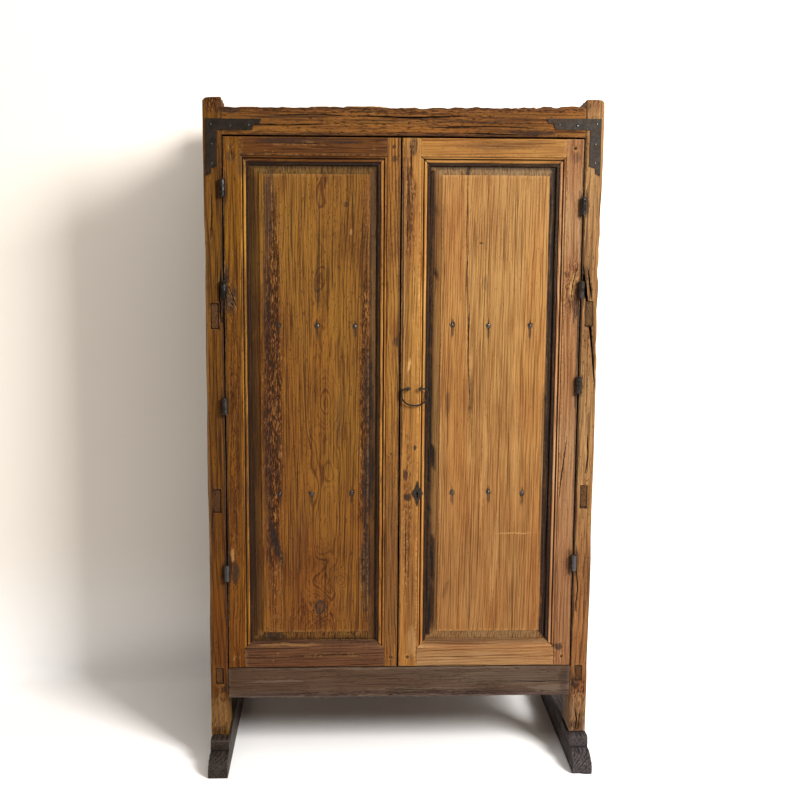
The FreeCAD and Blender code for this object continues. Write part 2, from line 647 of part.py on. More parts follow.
def back_boards():
    """Upright boards, half-lapped along their edges."""
    pitch = f"(({OPENING_WIDTH} - back_board_gap) / {len(BACK_BOARDS)})"
    width = f"({pitch} - back_board_gap)"
    half = "(back_board_thickness / 2)"
    for index, name in enumerate(BACK_BOARDS):
        x = f"(-cupboard_width / 2 + post_width + back_board_gap + {index} * {pitch})"
        body = new_body(f"{name}_back_board", x, f"({BACK} - back_board_thickness)", "back_board_bottom")
        outline = [("0", "0"), (width, "0"), (width, "back_board_thickness"), ("0", "back_board_thickness")]
        if name != BACK_BOARDS[-1]:
            reach = f"({width} + back_board_lap)"
            outline[1:3] = [(width, "0"), (width, half), (reach, half), (reach, "back_board_thickness")]
        if name != BACK_BOARDS[0]:
            inner = "(back_board_lap + back_board_gap)"
            split = f"({half} - back_lap_gap)"
            outline[-1:] = [(inner, "back_board_thickness"), (inner, split), ("0", split)]
        pad_up(body, [outline], f"({BACK_BOARD_TOP} - back_board_bottom)")


def level_board(label, front, back, bottom, thickness, front_notch, back_notch):
    """A level board on the side rails' ledges, notched round the posts it passes."""
    body = new_body(label, "0", FRONT, bottom)
    wide = "(cupboard_width / 2 - board_end_inset)"
    narrow = "(cupboard_width / 2 - post_width - board_clearance)"
    front_post_back = "(front_post_depth + board_clearance)"
    back_post_front = "(carcass_depth - back_post_depth - board_clearance)"
    right_edge = [(narrow, front), (narrow, front_post_back), (wide, front_post_back)] if front_notch \
        else [(wide, front)]
    right_edge += [(wide, back_post_front), (narrow, back_post_front), (narrow, back)] if back_notch \
        else [(wide, back)]
    left_edge = [(f"(-{x})", y) for x, y in reversed(right_edge)]
    pad_up(body, [right_edge + left_edge], thickness)


def level_boards():
    """Floor, shelves and top."""
    behind_doors = "(door_thickness + door_stop_gap)"
    behind_rail = "(top_rail_depth + board_clearance)"
    before_back = "(carcass_depth - back_board_thickness - board_clearance)"
    before_back_rail = "(carcass_depth - back_board_thickness - back_rail_thickness - board_clearance)"
    seam = "(carcass_depth / 2)"
    behind_seam = f"({seam} + board_clearance)"
    boards = (
        # label, front and back edge, rail it lies on, thickness, notched in front, notched behind
        ("front_floor_board", behind_doors, seam, "base", "floor_thickness", True, False),
        ("back_floor_board", behind_seam, before_back, "base", "floor_thickness", False, True),
        ("lower_shelf", "shelf_setback", before_back, "lower", "shelf_thickness", True, True),
        ("upper_shelf", "shelf_setback", before_back, "upper", "shelf_thickness", True, True),
        ("top_board", behind_rail, before_back_rail, "head", "top_board_thickness", True, True),
    )
    for label, front, back, rail, thickness, front_notch, back_notch in boards:
        level_board(label, front, back, RAIL_TOPS[rail], thickness, front_notch, back_notch)


def carcass_pegs():
    """Four oak pegs through the front rails' tenons, in one node."""
    body = new_body("carcass_pegs", "0", FRONT, "0")
    reach = "(cupboard_width / 2 - post_width + front_tenon_length / 2)"
    pegs = [octagon(x, z, "peg_radius") for x in (f"(-{reach})", reach) for z in carcass_peg_heights()]
    pad_back(body, pegs, "peg_length")


def iron_arm(length):
    """End of one arm of a corner iron, as places along and across the arm."""
    return [(length, "0"), (f"({length} - iron_slant)", "iron_step"), (f"({length} - iron_nib)", "iron_step"),
            (f"({length} - iron_nib - iron_hook)", "iron_width")]


def corner_iron(side):
    """A forged corner iron: two arms with slanted nibs, nailed over the joint of post and top rail."""
    name = SIDE_NAMES[side]
    body = new_body(f"{name}_corner_iron", outer_x(side), f"({FRONT} - iron_thickness)",
                    f"(cupboard_height - {name}_iron_down)")
    down_arm = [(inward, along) for along, inward in reversed(iron_arm("iron_down"))]
    outline = [("0", "0")] + iron_arm("iron_across") + [("iron_width", "iron_width")] + down_arm
    pad_back(body, [[(across(side, f"(iron_inset + {x})"), f"(-({down}))") for x, down in outline]],
             "iron_thickness")


# ------------------------------------------------------------------ doors


def door_body(side, label):
    """A body placed at the door's hinge-side bottom front corner."""
    x = f"(-{DOOR_EDGE})" if side == LEFT else DOOR_EDGE
    return new_body(f"{SIDE_NAMES[side]}_door_{label}", x, FRONT, DOOR_BOTTOM)


def moulding_points(flat, towards):
    """Beaded edge of a stile or rail, from the flat's edge to the sight edge.

    flat is where the flat ends and towards is 1 where the moulding runs to larger
    values; each point is (position, depth) or (position, depth, rise).
    """
    small_start = "quirk_width"
    small_end = f"({small_start} + small_bead_width)"
    large_start = f"({small_end} + quirk_width)"
    large_end = f"({large_start} + large_bead_width)"
    fillet_start = f"({large_end} + quirk_width)"
    steps = [
        ("0", "0"), (small_start, "quirk_depth", "small_bead_rise"), (small_end, "quirk_depth"),
        (large_start, "large_bead_foot", "large_bead_rise"), (large_end, "large_bead_foot"),
        (fillet_start, "fillet_depth"), ("moulding_width", "fillet_depth"),
    ]
    sign = "+" if towards == 1 else "-"
    return [(f"({flat} {sign} {step[0]})",) + step[1:] for step in steps]


def stile(side, at_hinge):
    """A door stile: moulded, grooved for the panel, mortised for the rails."""
    name = "hinge_stile" if at_hinge else "meeting_stile"
    body = door_body(side, name)
    flat = HINGE_FLAT[side] if at_hinge else MEETING_FLAT[side]
    edge = "0" if at_hinge else DOOR_WIDTH[side]
    towards = 1 if at_hinge else -1
    sign = "+" if at_hinge else "-"
    flat_edge = f"({edge} {sign} {flat})"
    sight = f"({edge} {sign} ({flat} + moulding_width))"
    beads = moulding_points(flat_edge, towards)
    face = [(edge, "0")] + beads + [(sight, "door_thickness"), (edge, "door_thickness")]
    mirrored = (side == RIGHT) != (not at_hinge)
    profile = []
    for point in face:
        rise = tuple(value if not mirrored else f"(-{value})" for value in point[2:])
        profile.append((across(side, point[0]), point[1]) + rise)
    pad_up(body, [profile], DOOR_HEIGHT)
    stile_mitres(body, side, flat_edge, sight, sign)
    groove = rectangle(across(side, sight), "door_tenon_inset",
                       across(side, f"({sight} {'-' if at_hinge else '+'} door_groove_depth)"), TENON_BACK)
    cut_up(body, [groove], f"({SIGHT_TOP} - {SIGHT_BOTTOM} + 2 * door_groove_depth)",
           f"({SIGHT_BOTTOM} - door_groove_depth)")
    for low in door_tenon_lows():
        slot = rectangle(across(side, edge), f"({low} - joint_gap)",
                         across(side, sight), f"({low} + door_tenon_height + joint_gap)")
        cut_back(body, [slot], "(door_tenon_thickness + 2 * joint_gap)", "(door_tenon_inset - joint_gap)")
    peg_x = across(side, f"({edge} {sign} {flat} / 2)")
    drill_back(body, [(peg_x, z) for z in door_peg_heights()], "(peg_radius + peg_gap)", "door_thickness")
    return body


def stile_mitres(body, side, flat_edge, sight, sign):
    """Cut the moulding back to a mitre where each rail meets the stile."""
    past = f"({sight} {sign} 1)"
    head = f"({DOOR_HEIGHT} - head_flat)"
    upper = [(flat_edge, head), (sight, SIGHT_TOP), (past, SIGHT_TOP),
             (past, f"({DOOR_HEIGHT} + 1)"), (flat_edge, f"({DOOR_HEIGHT} + 1)")]
    lower = [(flat_edge, "sill_flat"), (sight, SIGHT_BOTTOM), (past, SIGHT_BOTTOM),
             (past, "(-1)"), (flat_edge, "(-1)")]
    for corner in (upper, lower):
        cut_back(body, [[(across(side, x), z) for x, z in corner]], "door_thickness")


def door_tenon_lows():
    """Lower edges of the bottom and top rails' tenons, above the door's bottom."""
    return ["((sill_flat - door_tenon_height) / 2)",
            f"({DOOR_HEIGHT} - (head_flat + door_tenon_height) / 2)"]


def door_peg_heights():
    """The pegs' heights above the door's bottom."""
    return [f"({low} + door_tenon_height / 2)" for low in door_tenon_lows()]


def door_rail(side, at_top):
    """A door rail: beaded at the top, chamfered at the bottom, mitred to the stiles' mouldings."""
    body = door_body(side, "top_rail" if at_top else "bottom_rail")
    left, right = HINGE_FLAT[side], f"({DOOR_WIDTH[side]} - {MEETING_FLAT[side]})"
    if at_top:
        flat_edge = f"({DOOR_HEIGHT} - head_flat)"
        beads = [(point[1], point[0]) + point[2:] for point in moulding_points(flat_edge, -1)]
        back_face = [("door_thickness", SIGHT_TOP), ("door_thickness", DOOR_HEIGHT)]
        profile = [("0", DOOR_HEIGHT)] + beads + back_face
        groove_low, sight, outer = SIGHT_TOP, SIGHT_TOP, flat_edge
    else:
        profile = [("0", "0"), ("door_thickness", "0"), ("door_thickness", SIGHT_BOTTOM),
                   ("chamfer_depth", SIGHT_BOTTOM), ("0", "sill_flat")]
        groove_low, sight, outer = f"({SIGHT_BOTTOM} - door_groove_depth)", SIGHT_BOTTOM, "sill_flat"
    pad_across(body, side, [profile], f"({right} - {left})", left)
    for flat, inner, beyond in ((left, SIGHT_HINGE[side], "-"), (right, SIGHT_MEETING[side], "+")):
        past = f"({flat} {beyond} 1)"
        over = f"({sight} {'-' if at_top else '+'} 1)"
        corner = [(flat, outer), (inner, sight), (inner, over), (past, over), (past, outer)]
        cut_back(body, [[(across(side, x), z) for x, z in corner]], "door_thickness")
    groove = rectangle("door_tenon_inset", groove_low, TENON_BACK, f"({groove_low} + door_groove_depth)")
    cut_across(body, side, [groove], f"({right} - {left})", left)
    low = door_tenon_lows()[1 if at_top else 0]
    tenon = rectangle("door_tenon_inset", low, TENON_BACK, f"({low} + door_tenon_height)")
    pad_across(body, side, [tenon], left)
    pad_across(body, side, [tenon], MEETING_FLAT[side], right)
    holes = [(across(side, f"({left} / 2)"), f"({low} + door_tenon_height / 2)"),
             (across(side, f"({right} + {MEETING_FLAT[side]} / 2)"), f"({low} + door_tenon_height / 2)")]
    drill_back(body, holes, "(peg_radius + peg_gap)", "door_thickness")


def door_panel(side):
    """A raised and fielded panel: tongue, sloping bevels and a stepped-up field."""
    body = door_body(side, "panel")
    name = SIDE_NAMES[side]
    tongue = "(door_groove_depth - board_clearance)"
    front = "(door_tenon_inset + tongue_gap)"
    back = f"({TENON_BACK} - tongue_gap)"
    whole = rectangle(across(side, f"({SIGHT_HINGE[side]} - {tongue})"), f"({SIGHT_BOTTOM} - {tongue})",
                      across(side, f"({SIGHT_MEETING[side]} + {tongue})"), f"({SIGHT_TOP} + {tongue})")
    pad_back(body, [whole], f"({back} - {front})", front)
    behind = rectangle(across(side, f"({SIGHT_HINGE[side]} + board_clearance)"),
                       f"({SIGHT_BOTTOM} + board_clearance)",
                       across(side, f"({SIGHT_MEETING[side]} - board_clearance)"),
                       f"({SIGHT_TOP} - board_clearance)")
    pad_back(body, [behind], "panel_back", back)
    sight = rectangle(across(side, SIGHT_HINGE[side]), SIGHT_BOTTOM,
                      across(side, SIGHT_MEETING[side]), SIGHT_TOP)
    field = rectangle(across(side, f"({SIGHT_HINGE[side]} + {name}_bevel_hinge)"),
                      f"({SIGHT_BOTTOM} + bevel_end)",
                      across(side, f"({SIGHT_MEETING[side]} - {name}_bevel_meeting)"),
                      f"({SIGHT_TOP} - bevel_end)")
    shoulder = "(field_depth + field_step)"
    loft = body.newObject("PartDesign::AdditiveLoft", body.Label + "_bevels")
    loft.Profile = sketch_on(body, "XZ_Plane", f"(-{front})", [sight])
    loft.Sections = [sketch_on(body, "XZ_Plane", f"(-{shoulder})", [field])]
    loft.Ruled = True
    pad_back(body, [field], "field_step", "field_depth")
    return body


def batten(side, name):
    """A batten across the panel's back, its long edges chamfered."""
    body = door_body(side, f"{name}_batten")
    middle = f"({BATTEN_HEIGHTS[name]} - {DOOR_BOTTOM})"
    back = f"({TENON_BACK} - tongue_gap + panel_back)"
    low, high = f"({middle} - batten_height / 2)", f"({middle} + batten_height / 2)"
    end = f"({back} + batten_thickness)"
    section = [(back, low), (f"({end} - batten_chamfer)", low), (end, f"({low} + batten_chamfer)"),
               (end, f"({high} - batten_chamfer)"), (f"({end} - batten_chamfer)", high), (back, high)]
    start = f"({SIGHT_HINGE[side]} + batten_end_gap)"
    pad_across(body, side, [section], f"({SIGHT_MEETING[side]} - batten_end_gap - {start})", start)


def door_pegs(side):
    """Four oak pegs that lock the door's joints, in one node."""
    body = door_body(side, "pegs")
    places = (f"({HINGE_FLAT[side]} / 2)", f"({DOOR_WIDTH[side]} - {MEETING_FLAT[side]} / 2)")
    pegs = [octagon(across(side, x), z, "peg_radius") for x in places for z in door_peg_heights()]
    pad_back(body, pegs, "door_peg_length")


# ----------------------------------------------------------------- hinges


def upper_loop(low, high):
    """Half section of an upper barrel, slanted at its top."""
    return [("0", low), ("knuckle_radius", low), ("knuckle_radius", f"({high} - knuckle_round)"),
            ("(knuckle_radius - knuckle_round)", high), ("0", high)]


def lower_loop(low, high):
    """Half section of a lower barrel, slanted at its foot, with the pin that stands on it."""
    tip = f"({high} + knuckle_split + pin_rise)"
    return [("0", low), ("(knuckle_radius - knuckle_round)", low),
            ("knuckle_radius", f"({low} + knuckle_round)"), ("knuckle_radius", high),
            ("pin_radius", high), ("pin_radius", tip), ("0", tip)]


def revolve(body, kind, loops, axis_role="Z_Axis"):
    """Turn XZ half sections about one of the body's axes."""
    turned = body.newObject(f"PartDesign::{kind}", f"{body.Label}_{kind}")
    turned.Profile = sketch_on(body, "XZ_Plane", "0", loops)
    axis = [part for part in body.Origin.OriginFeatures if part.Role == axis_role][0]
    turned.ReferenceAxis = (axis, [""])
    turned.Angle = 360
    doc.recompute()
    return turned


def barrel_heights(side, upper):
    """Low and high ends of one side's upper or lower barrel halves."""
    if upper:
        lows = [f"({height} + knuckle_split / 2)" for height in HINGE_HEIGHTS[side]]
    else:
        lows = [f"({height} - knuckle_split / 2 - knuckle_length)" for height in HINGE_HEIGHTS[side]]
    return [(low, f"({low} + knuckle_length)") for low in lows]


def hinge_half(side, label, upper):
    """One side's upper or lower hinge halves: barrels with a leaf let into the wood."""
    x = f"(-{HINGE_AXIS_X})" if side == LEFT else HINGE_AXIS_X
    body = new_body(label, x, f"({FRONT} - {KNUCKLE_OUT})", "0")
    ends = barrel_heights(side, upper)
    revolve(body, "Revolution", [upper_loop(*end) if upper else lower_loop(*end) for end in ends])
    leaves = [rectangle("leaf_root", f"({low} + leaf_margin)",
                        f"({KNUCKLE_OUT} + leaf_length)", f"({high} - leaf_margin)") for low, high in ends]
    start = "(hinge_gap / 2 + leaf_sink - leaf_thickness)" if upper else "(-hinge_gap / 2 - leaf_sink)"
    pad_across(body, side, leaves, "leaf_thickness", start)
    if upper:
        bores = [rectangle("0", f"({low} - 1)", "(pin_radius + pin_gap)", f"({low} + pin_rise + 1)")
                 for low, high in ends]
        revolve(body, "Groove", bores)


def leaf_recesses(body, side, upper, base, edge):
    """Shallow recesses for the hinge leaves in a post's inner face or a stile's edge."""
    loops = []
    for low, high in barrel_heights(side, upper):
        loops.append(rectangle("0", f"({low} + leaf_margin - {base})",
                               "leaf_length", f"({high} - leaf_margin - {base})"))
    cut_across(body, side, loops, "leaf_sink", edge)


# -------------------------------------------------- handle, lock and plate


def meeting_body(label, depth, height, inset="0"):
    """A body placed by the right door's meeting edge, at a depth from its front face."""
    x = f"({DOOR_EDGE} - {DOOR_WIDTH[RIGHT]} + {inset})"
    return new_body(label, x, f"({FRONT} + {depth})", height)


def keyhole():
    """A round hole with a slot under it, as one loop about the keyhole's middle."""
    half = "(keyhole_slot / 2)"
    neck = f"sqrt(keyhole_radius^2 - {half}^2)"
    return [(f"(keyhole_inset - {half})", f"(-{neck})"), (f"(keyhole_inset - {half})", "(-keyhole_drop)"),
            (f"(keyhole_inset + {half})", "(-keyhole_drop)"),
            (f"(keyhole_inset + {half})", f"(-{neck})", f"(keyhole_radius + {neck})")]


def right_meeting_details(stile_body):
    """Holes in the right meeting stile for the keyhole and the handle's shanks."""
    edge = f"(-({DOOR_WIDTH[RIGHT]}))"
    hole = [(f"({edge} + {point[0]})", f"({point[1]} + keyhole_height - {DOOR_BOTTOM})") + point[2:]
            for point in keyhole()]
    cut_back(stile_body, [hole], "door_thickness")
    shank_height = f"(bail_height - {DOOR_BOTTOM})"
    shanks = [(f"({edge} + bail_middle {sign} eye_half_span)", shank_height) for sign in "-+"]
    drill_back(stile_body, shanks, "(eye_wire + peg_gap)", "(eye_shank + 1)")


def escutcheon():
    """A lozenge plate with notched sides over the keyhole."""
    body = meeting_body("escutcheon", "(-escutcheon_thickness)", "keyhole_height", "keyhole_inset")
    wide, high = "(escutcheon_width / 2)", "(escutcheon_height / 2)"
    outline = []
    for sign_x, sign_z, tip in ((1, 1, ("0", high)), (1, -1, (wide, "0")),
                                (-1, -1, ("0", f"(-{high})")), (-1, 1, (f"(-{wide})", "0"))):
        outline.append(tip)
        outline.append((f"({sign_x} * ({wide} - escutcheon_waist) / 2)",
                        f"({sign_z} * ({high} - escutcheon_waist) / 2)"))
    pad_back(body, [outline], "escutcheon_thickness")
    hole = [(f"({point[0]} - keyhole_inset)",) + point[1:] for point in keyhole()]
    cut_back(body, [hole], "escutcheon_thickness")


def bail_eyes():
    """The two eyes that carry the drop handle: forged rings on shanks driven into the stile."""
    body = meeting_body("bail_eyes", "(-eye_standoff)", "bail_height", "bail_middle")
    middles = ("(-eye_half_span)", "eye_half_span")
    revolve(body, "Revolution", [octagon(x, "eye_radius", "eye_wire") for x in middles], "X_Axis")
    pad_back(body, [octagon(x, "0", "eye_wire") for x in middles],
             "(eye_standoff + eye_shank - eye_radius)", "eye_radius")


def bail():
    """The drop handle: one forged wire, bent round at both shoulders, hanging from the eyes."""
    body = meeting_body("bail_handle", "(-eye_standoff)", "bail_height", "bail_middle")
    shoulder_radius = "(bail_half_width - bail_shoulder)"
    low_radius = f"(bail_drop - {shoulder_radius})"
    quarter_rise = "(1 - sqrt(0.5))"
    low = f"(bail_half_width - {low_radius})"
    right = [
        ("bail_end", "0"),
        ("bail_shoulder", "0", f"(-{shoulder_radius} * {quarter_rise})"),
        ("bail_half_width", f"(-{shoulder_radius})", f"(-{low_radius} * {quarter_rise})"),
        (low, "(-bail_drop)"),
    ]
    left = [
        (f"(-{low})", "(-bail_drop)", right[2][2]),
        ("(-bail_half_width)", right[2][1], right[1][2]),
        ("(-bail_shoulder)", "0"),
        ("(-bail_end)", "0"),
    ]
    path = sketch_on(body, "XZ_Plane", "0", [])
    add_loop(path, right + left, closed=False)
    pipe = body.newObject("PartDesign::AdditivePipe", "bail_wire_pipe")
    pipe.Profile = sketch_on(body, "YZ_Plane", "bail_end", [octagon("0", "0", "bail_wire")])
    pipe.Spine = path
    doc.recompute()
    knob = [octagon("0", "0", "bail_knob_radius")]
    for start in ("(bail_end - bail_knob_length / 2)", "(-bail_end - bail_knob_length / 2)"):
        pad_right(body, knob, "bail_knob_length", start)


def lock():
    """An iron rim lock on the right door's back, and its sliding bolt, withdrawn."""
    case = meeting_body("lock_case", "door_thickness", "keyhole_height")
    outline = rectangle("lock_inset", "(-lock_height / 2)", "(lock_inset + lock_width)", "(lock_height / 2)")
    pad_back(case, [outline], "lock_depth")
    channel_front = "(lock_depth - bolt_inset - bolt_thickness - bolt_gap)"
    channel_back = "(lock_depth - bolt_inset + bolt_gap)"
    channel = rectangle(channel_front, "(bolt_lift - bolt_height / 2 - bolt_gap)",
                        channel_back, "(bolt_lift + bolt_height / 2 + bolt_gap)")
    cut_across(case, LEFT, [channel], "(bolt_length + bolt_sunk + bolt_gap)", "lock_inset")
    cut_back(case, [keyhole()], "(lock_depth - bolt_inset - bolt_thickness - 2 * bolt_gap)")
    bolt = meeting_body("lock_bolt", "(door_thickness + lock_depth - bolt_inset - bolt_thickness)",
                        "(keyhole_height + bolt_lift)")
    section = rectangle("0", "(-bolt_height / 2)", "bolt_thickness", "(bolt_height / 2)")
    pad_across(bolt, LEFT, [section], "bolt_length", "(lock_inset + bolt_sunk)")


def build():
    """Make every sub-part."""
    for side in (LEFT, RIGHT):
        runner(side)
        post(side, "front")
        post(side, "back")
        for name in RAIL_BOTTOMS:
            side_rail(side, name)
        for name in PANEL_BAYS:
            side_panel(side, name)
        corner_iron(side)
        hinge_half(side, f"{SIDE_NAMES[side]}_post_pintles", False)
    front_rails()
    back_rails()
    back_boards()
    level_boards()
    carcass_pegs()
    for side in (LEFT, RIGHT):
        hinge_stile = stile(side, True)
        leaf_recesses(hinge_stile, side, True, DOOR_BOTTOM, "0")
        meeting_stile = stile(side, False)
        if side == RIGHT:
            right_meeting_details(meeting_stile)
        door_rail(side, True)
        door_rail(side, False)
        door_panel(side)
        batten(side, "lower")
        batten(side, "upper")
        door_pegs(side)
        hinge_half(side, f"{SIDE_NAMES[side]}_door_knuckles", True)
    escutcheon()
    bail_eyes()
    bail()
    lock()


def check_and_write():
    """Stop on any failed object, then write one STEP file for each sub-part."""
    doc.recompute()
    for thing in doc.Objects:
        if "Invalid" in thing.State or "Error" in thing.State:
            raise RuntimeError(f"{thing.Label} failed: {thing.State}")
    os.makedirs("parts", exist_ok=True)
    for node in nodes:
        shape = node.Shape
        if shape.isNull() or not shape.isValid() or not shape.Solids:
            raise RuntimeError(f"{node.Label} has no valid solid")
        shape.exportStep(f"parts/{node.Label}.step")
        print(f"{node.Label}: {len(shape.Solids)} solid(s), {shape.Volume / 1000:.1f} cm3")
    print(len(nodes), "nodes")


build()
check_and_write()
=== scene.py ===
import json
import math
from contextlib import contextmanager

import bmesh
import bpy
import numpy as np
from bpy.props import FloatProperty, FloatVectorProperty, PointerProperty
from mathutils import Matrix, Vector, noise

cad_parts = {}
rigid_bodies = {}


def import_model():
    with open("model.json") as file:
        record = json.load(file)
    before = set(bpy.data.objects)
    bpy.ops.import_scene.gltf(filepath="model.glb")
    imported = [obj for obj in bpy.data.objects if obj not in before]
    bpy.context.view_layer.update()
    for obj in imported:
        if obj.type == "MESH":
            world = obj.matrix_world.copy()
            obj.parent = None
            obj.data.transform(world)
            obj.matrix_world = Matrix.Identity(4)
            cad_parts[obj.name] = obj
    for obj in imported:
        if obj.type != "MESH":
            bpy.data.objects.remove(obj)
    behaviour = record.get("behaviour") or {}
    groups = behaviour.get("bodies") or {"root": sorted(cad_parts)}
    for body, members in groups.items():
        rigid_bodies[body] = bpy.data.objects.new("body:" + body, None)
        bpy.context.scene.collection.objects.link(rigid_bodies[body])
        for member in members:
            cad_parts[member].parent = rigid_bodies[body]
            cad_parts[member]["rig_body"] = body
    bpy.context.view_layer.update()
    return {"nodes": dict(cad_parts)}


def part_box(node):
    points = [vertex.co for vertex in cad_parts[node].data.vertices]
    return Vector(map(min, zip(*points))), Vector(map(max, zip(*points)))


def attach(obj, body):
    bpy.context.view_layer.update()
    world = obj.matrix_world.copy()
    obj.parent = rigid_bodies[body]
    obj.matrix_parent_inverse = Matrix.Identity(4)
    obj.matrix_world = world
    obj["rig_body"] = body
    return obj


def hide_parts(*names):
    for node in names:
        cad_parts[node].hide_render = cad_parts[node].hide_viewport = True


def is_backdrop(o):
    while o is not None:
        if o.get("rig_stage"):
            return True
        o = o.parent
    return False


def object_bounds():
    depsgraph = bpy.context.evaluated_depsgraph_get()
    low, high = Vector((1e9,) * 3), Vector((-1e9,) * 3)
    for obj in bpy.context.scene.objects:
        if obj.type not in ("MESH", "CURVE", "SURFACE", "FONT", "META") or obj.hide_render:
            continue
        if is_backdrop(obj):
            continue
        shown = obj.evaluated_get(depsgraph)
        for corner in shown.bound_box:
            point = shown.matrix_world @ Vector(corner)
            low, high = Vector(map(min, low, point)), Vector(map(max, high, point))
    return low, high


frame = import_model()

bl_info = {
    "name": "Old pine jelly cupboard",
    "version": (1, 0, 0),
    "blender": (4, 5, 0),
    "location": "3D View > Sidebar > Cupboard",
    "description": "Dresses the cupboard's frame in worn pine, forged iron and studio light",
    "category": "Object",
}

NODES = frame["nodes"]
SIDES = ("left", "right")
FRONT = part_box("left_front_post")[0].y
MERGE = 1.9e-6
SEED = 31


def length(name, default, description):
    """A length that a user may change."""
    return FloatProperty(name=name, description=description, default=default, unit="LENGTH", precision=5)


def share(name, default, description):
    """A factor that a user may change."""
    return FloatProperty(name=name, description=description, default=default, subtype="FACTOR")


def angle(name, degrees, description):
    """A turn that a user may change."""
    return FloatProperty(name=name, description=description, default=math.radians(degrees), unit="ROTATION")


def power(name, watts, description):
    """A light's power that a user may change."""
    return FloatProperty(name=name, description=description, default=watts, unit="POWER")


def colour(name, default, description):
    """A linear colour that a user may change."""
    return FloatVectorProperty(name=name, description=description, default=default, size=3,
                               subtype="COLOR", min=0.0, max=1.0)


class CupboardWood(bpy.types.PropertyGroup):
    """Colours and wear of the wood."""

    ring_pitch: length("Ring pitch", 0.0062, "Width of one growth ring")
    board_step: length("Grid step", 0.014, "Spacing of the points that wear moves on a board")
    edge_wear: length("Edge wear", 0.0009, "How far the sharp edges are worn back")
    face_wear: length("Face wear", 0.0005, "How deep the hollows in the faces are")
    relief: length("Grain relief", 0.0011, "Height of the hard grain lines in the surface")
    door_light: colour("Door, light", (0.215, 0.112, 0.031), "Early wood of the right door")
    door_dark: colour("Door, dark", (0.112, 0.043, 0.0085), "Late wood of the right door")
    old_light: colour("Left door, light", (0.15, 0.07, 0.013), "Early wood of the left door")
    old_dark: colour("Left door, dark", (0.058, 0.021, 0.0036), "Late wood of the left door")
    post_light: colour("Posts, light", (0.118, 0.054, 0.012), "Early wood of posts and top rail")
    post_dark: colour("Posts, dark", (0.04, 0.015, 0.003), "Late wood of posts and top rail")
    side_light: colour("Sides, light", (0.12, 0.06, 0.02), "Early wood of side frames and boards")
    side_dark: colour("Sides, dark", (0.05, 0.021, 0.006), "Late wood of side frames and boards")
    grey_light: colour("Bottom rail, light", (0.06, 0.038, 0.022), "Early wood of the front bottom rail")
    grey_dark: colour("Bottom rail, dark", (0.025, 0.0145, 0.008), "Late wood of the front bottom rail")
    black_light: colour("Runners, light", (0.04, 0.028, 0.021), "Worn wood of the runners")
    black_dark: colour("Runners, dark", (0.007, 0.005, 0.004), "Blackened wood of the runners")


class CupboardIron(bpy.types.PropertyGroup):
    """Colours of the iron and sizes of the nails."""

    iron: colour("Iron", (0.007, 0.0062, 0.0056), "Waxed forged iron")
    plate: colour("Plate", (0.011, 0.0082, 0.0058), "Flat brown iron of the corner irons")
    rust: colour("Rust", (0.017, 0.009, 0.005), "Rust in the hollows")
    nail_radius: length("Nail head", 0.0050, "Radius of a nail head in the panels")
    iron_nail_radius: length("Iron's nail head", 0.0036, "Radius of a nail head in the corner irons")
    nail_height: length("Nail height", 0.0016, "How far a nail head stands up")


class CupboardStage(bpy.types.PropertyGroup):
    """Camera, floor and lights."""

    camera_place: FloatVectorProperty(name="Camera place", description="Where the camera stands", size=3,
                                      default=(-0.1537, -3.1121, 1.4873), unit="LENGTH", precision=4)
    camera_turn: angle("Camera turn", -2.0844, "Turn about the upright axis")
    camera_dip: angle("Camera dip", 7.5869, "Downward tilt")
    camera_roll: angle("Camera roll", 0.3507, "Roll about the line of sight")
    lens: FloatProperty(name="Lens", description="Focal length on a 36 mm frame", default=50.94,
                        unit="CAMERA")
    shift_x: share("Shift across", 0.0194, "Sideways shift of the frame")
    shift_y: share("Shift up", -0.0482, "Upward shift of the frame")
    wall_gap: length("Wall gap", 0.10, "Distance from the cupboard's back to the wall")
    key_power: power("Key light", 375.0, "Power of the window light")
    fill_power: power("Fill light", 7.0, "Power of the front light")
    top_power: power("Top light", 56.0, "Power of the light overhead")
    sky: FloatProperty(name="Sky", description="Strength of the even light all round", default=0.175)
    sky_tint: colour("Sky tint", (1.0, 0.84, 0.66), "Colour of the even light all round")


# ------------------------------------------------------------- material graph


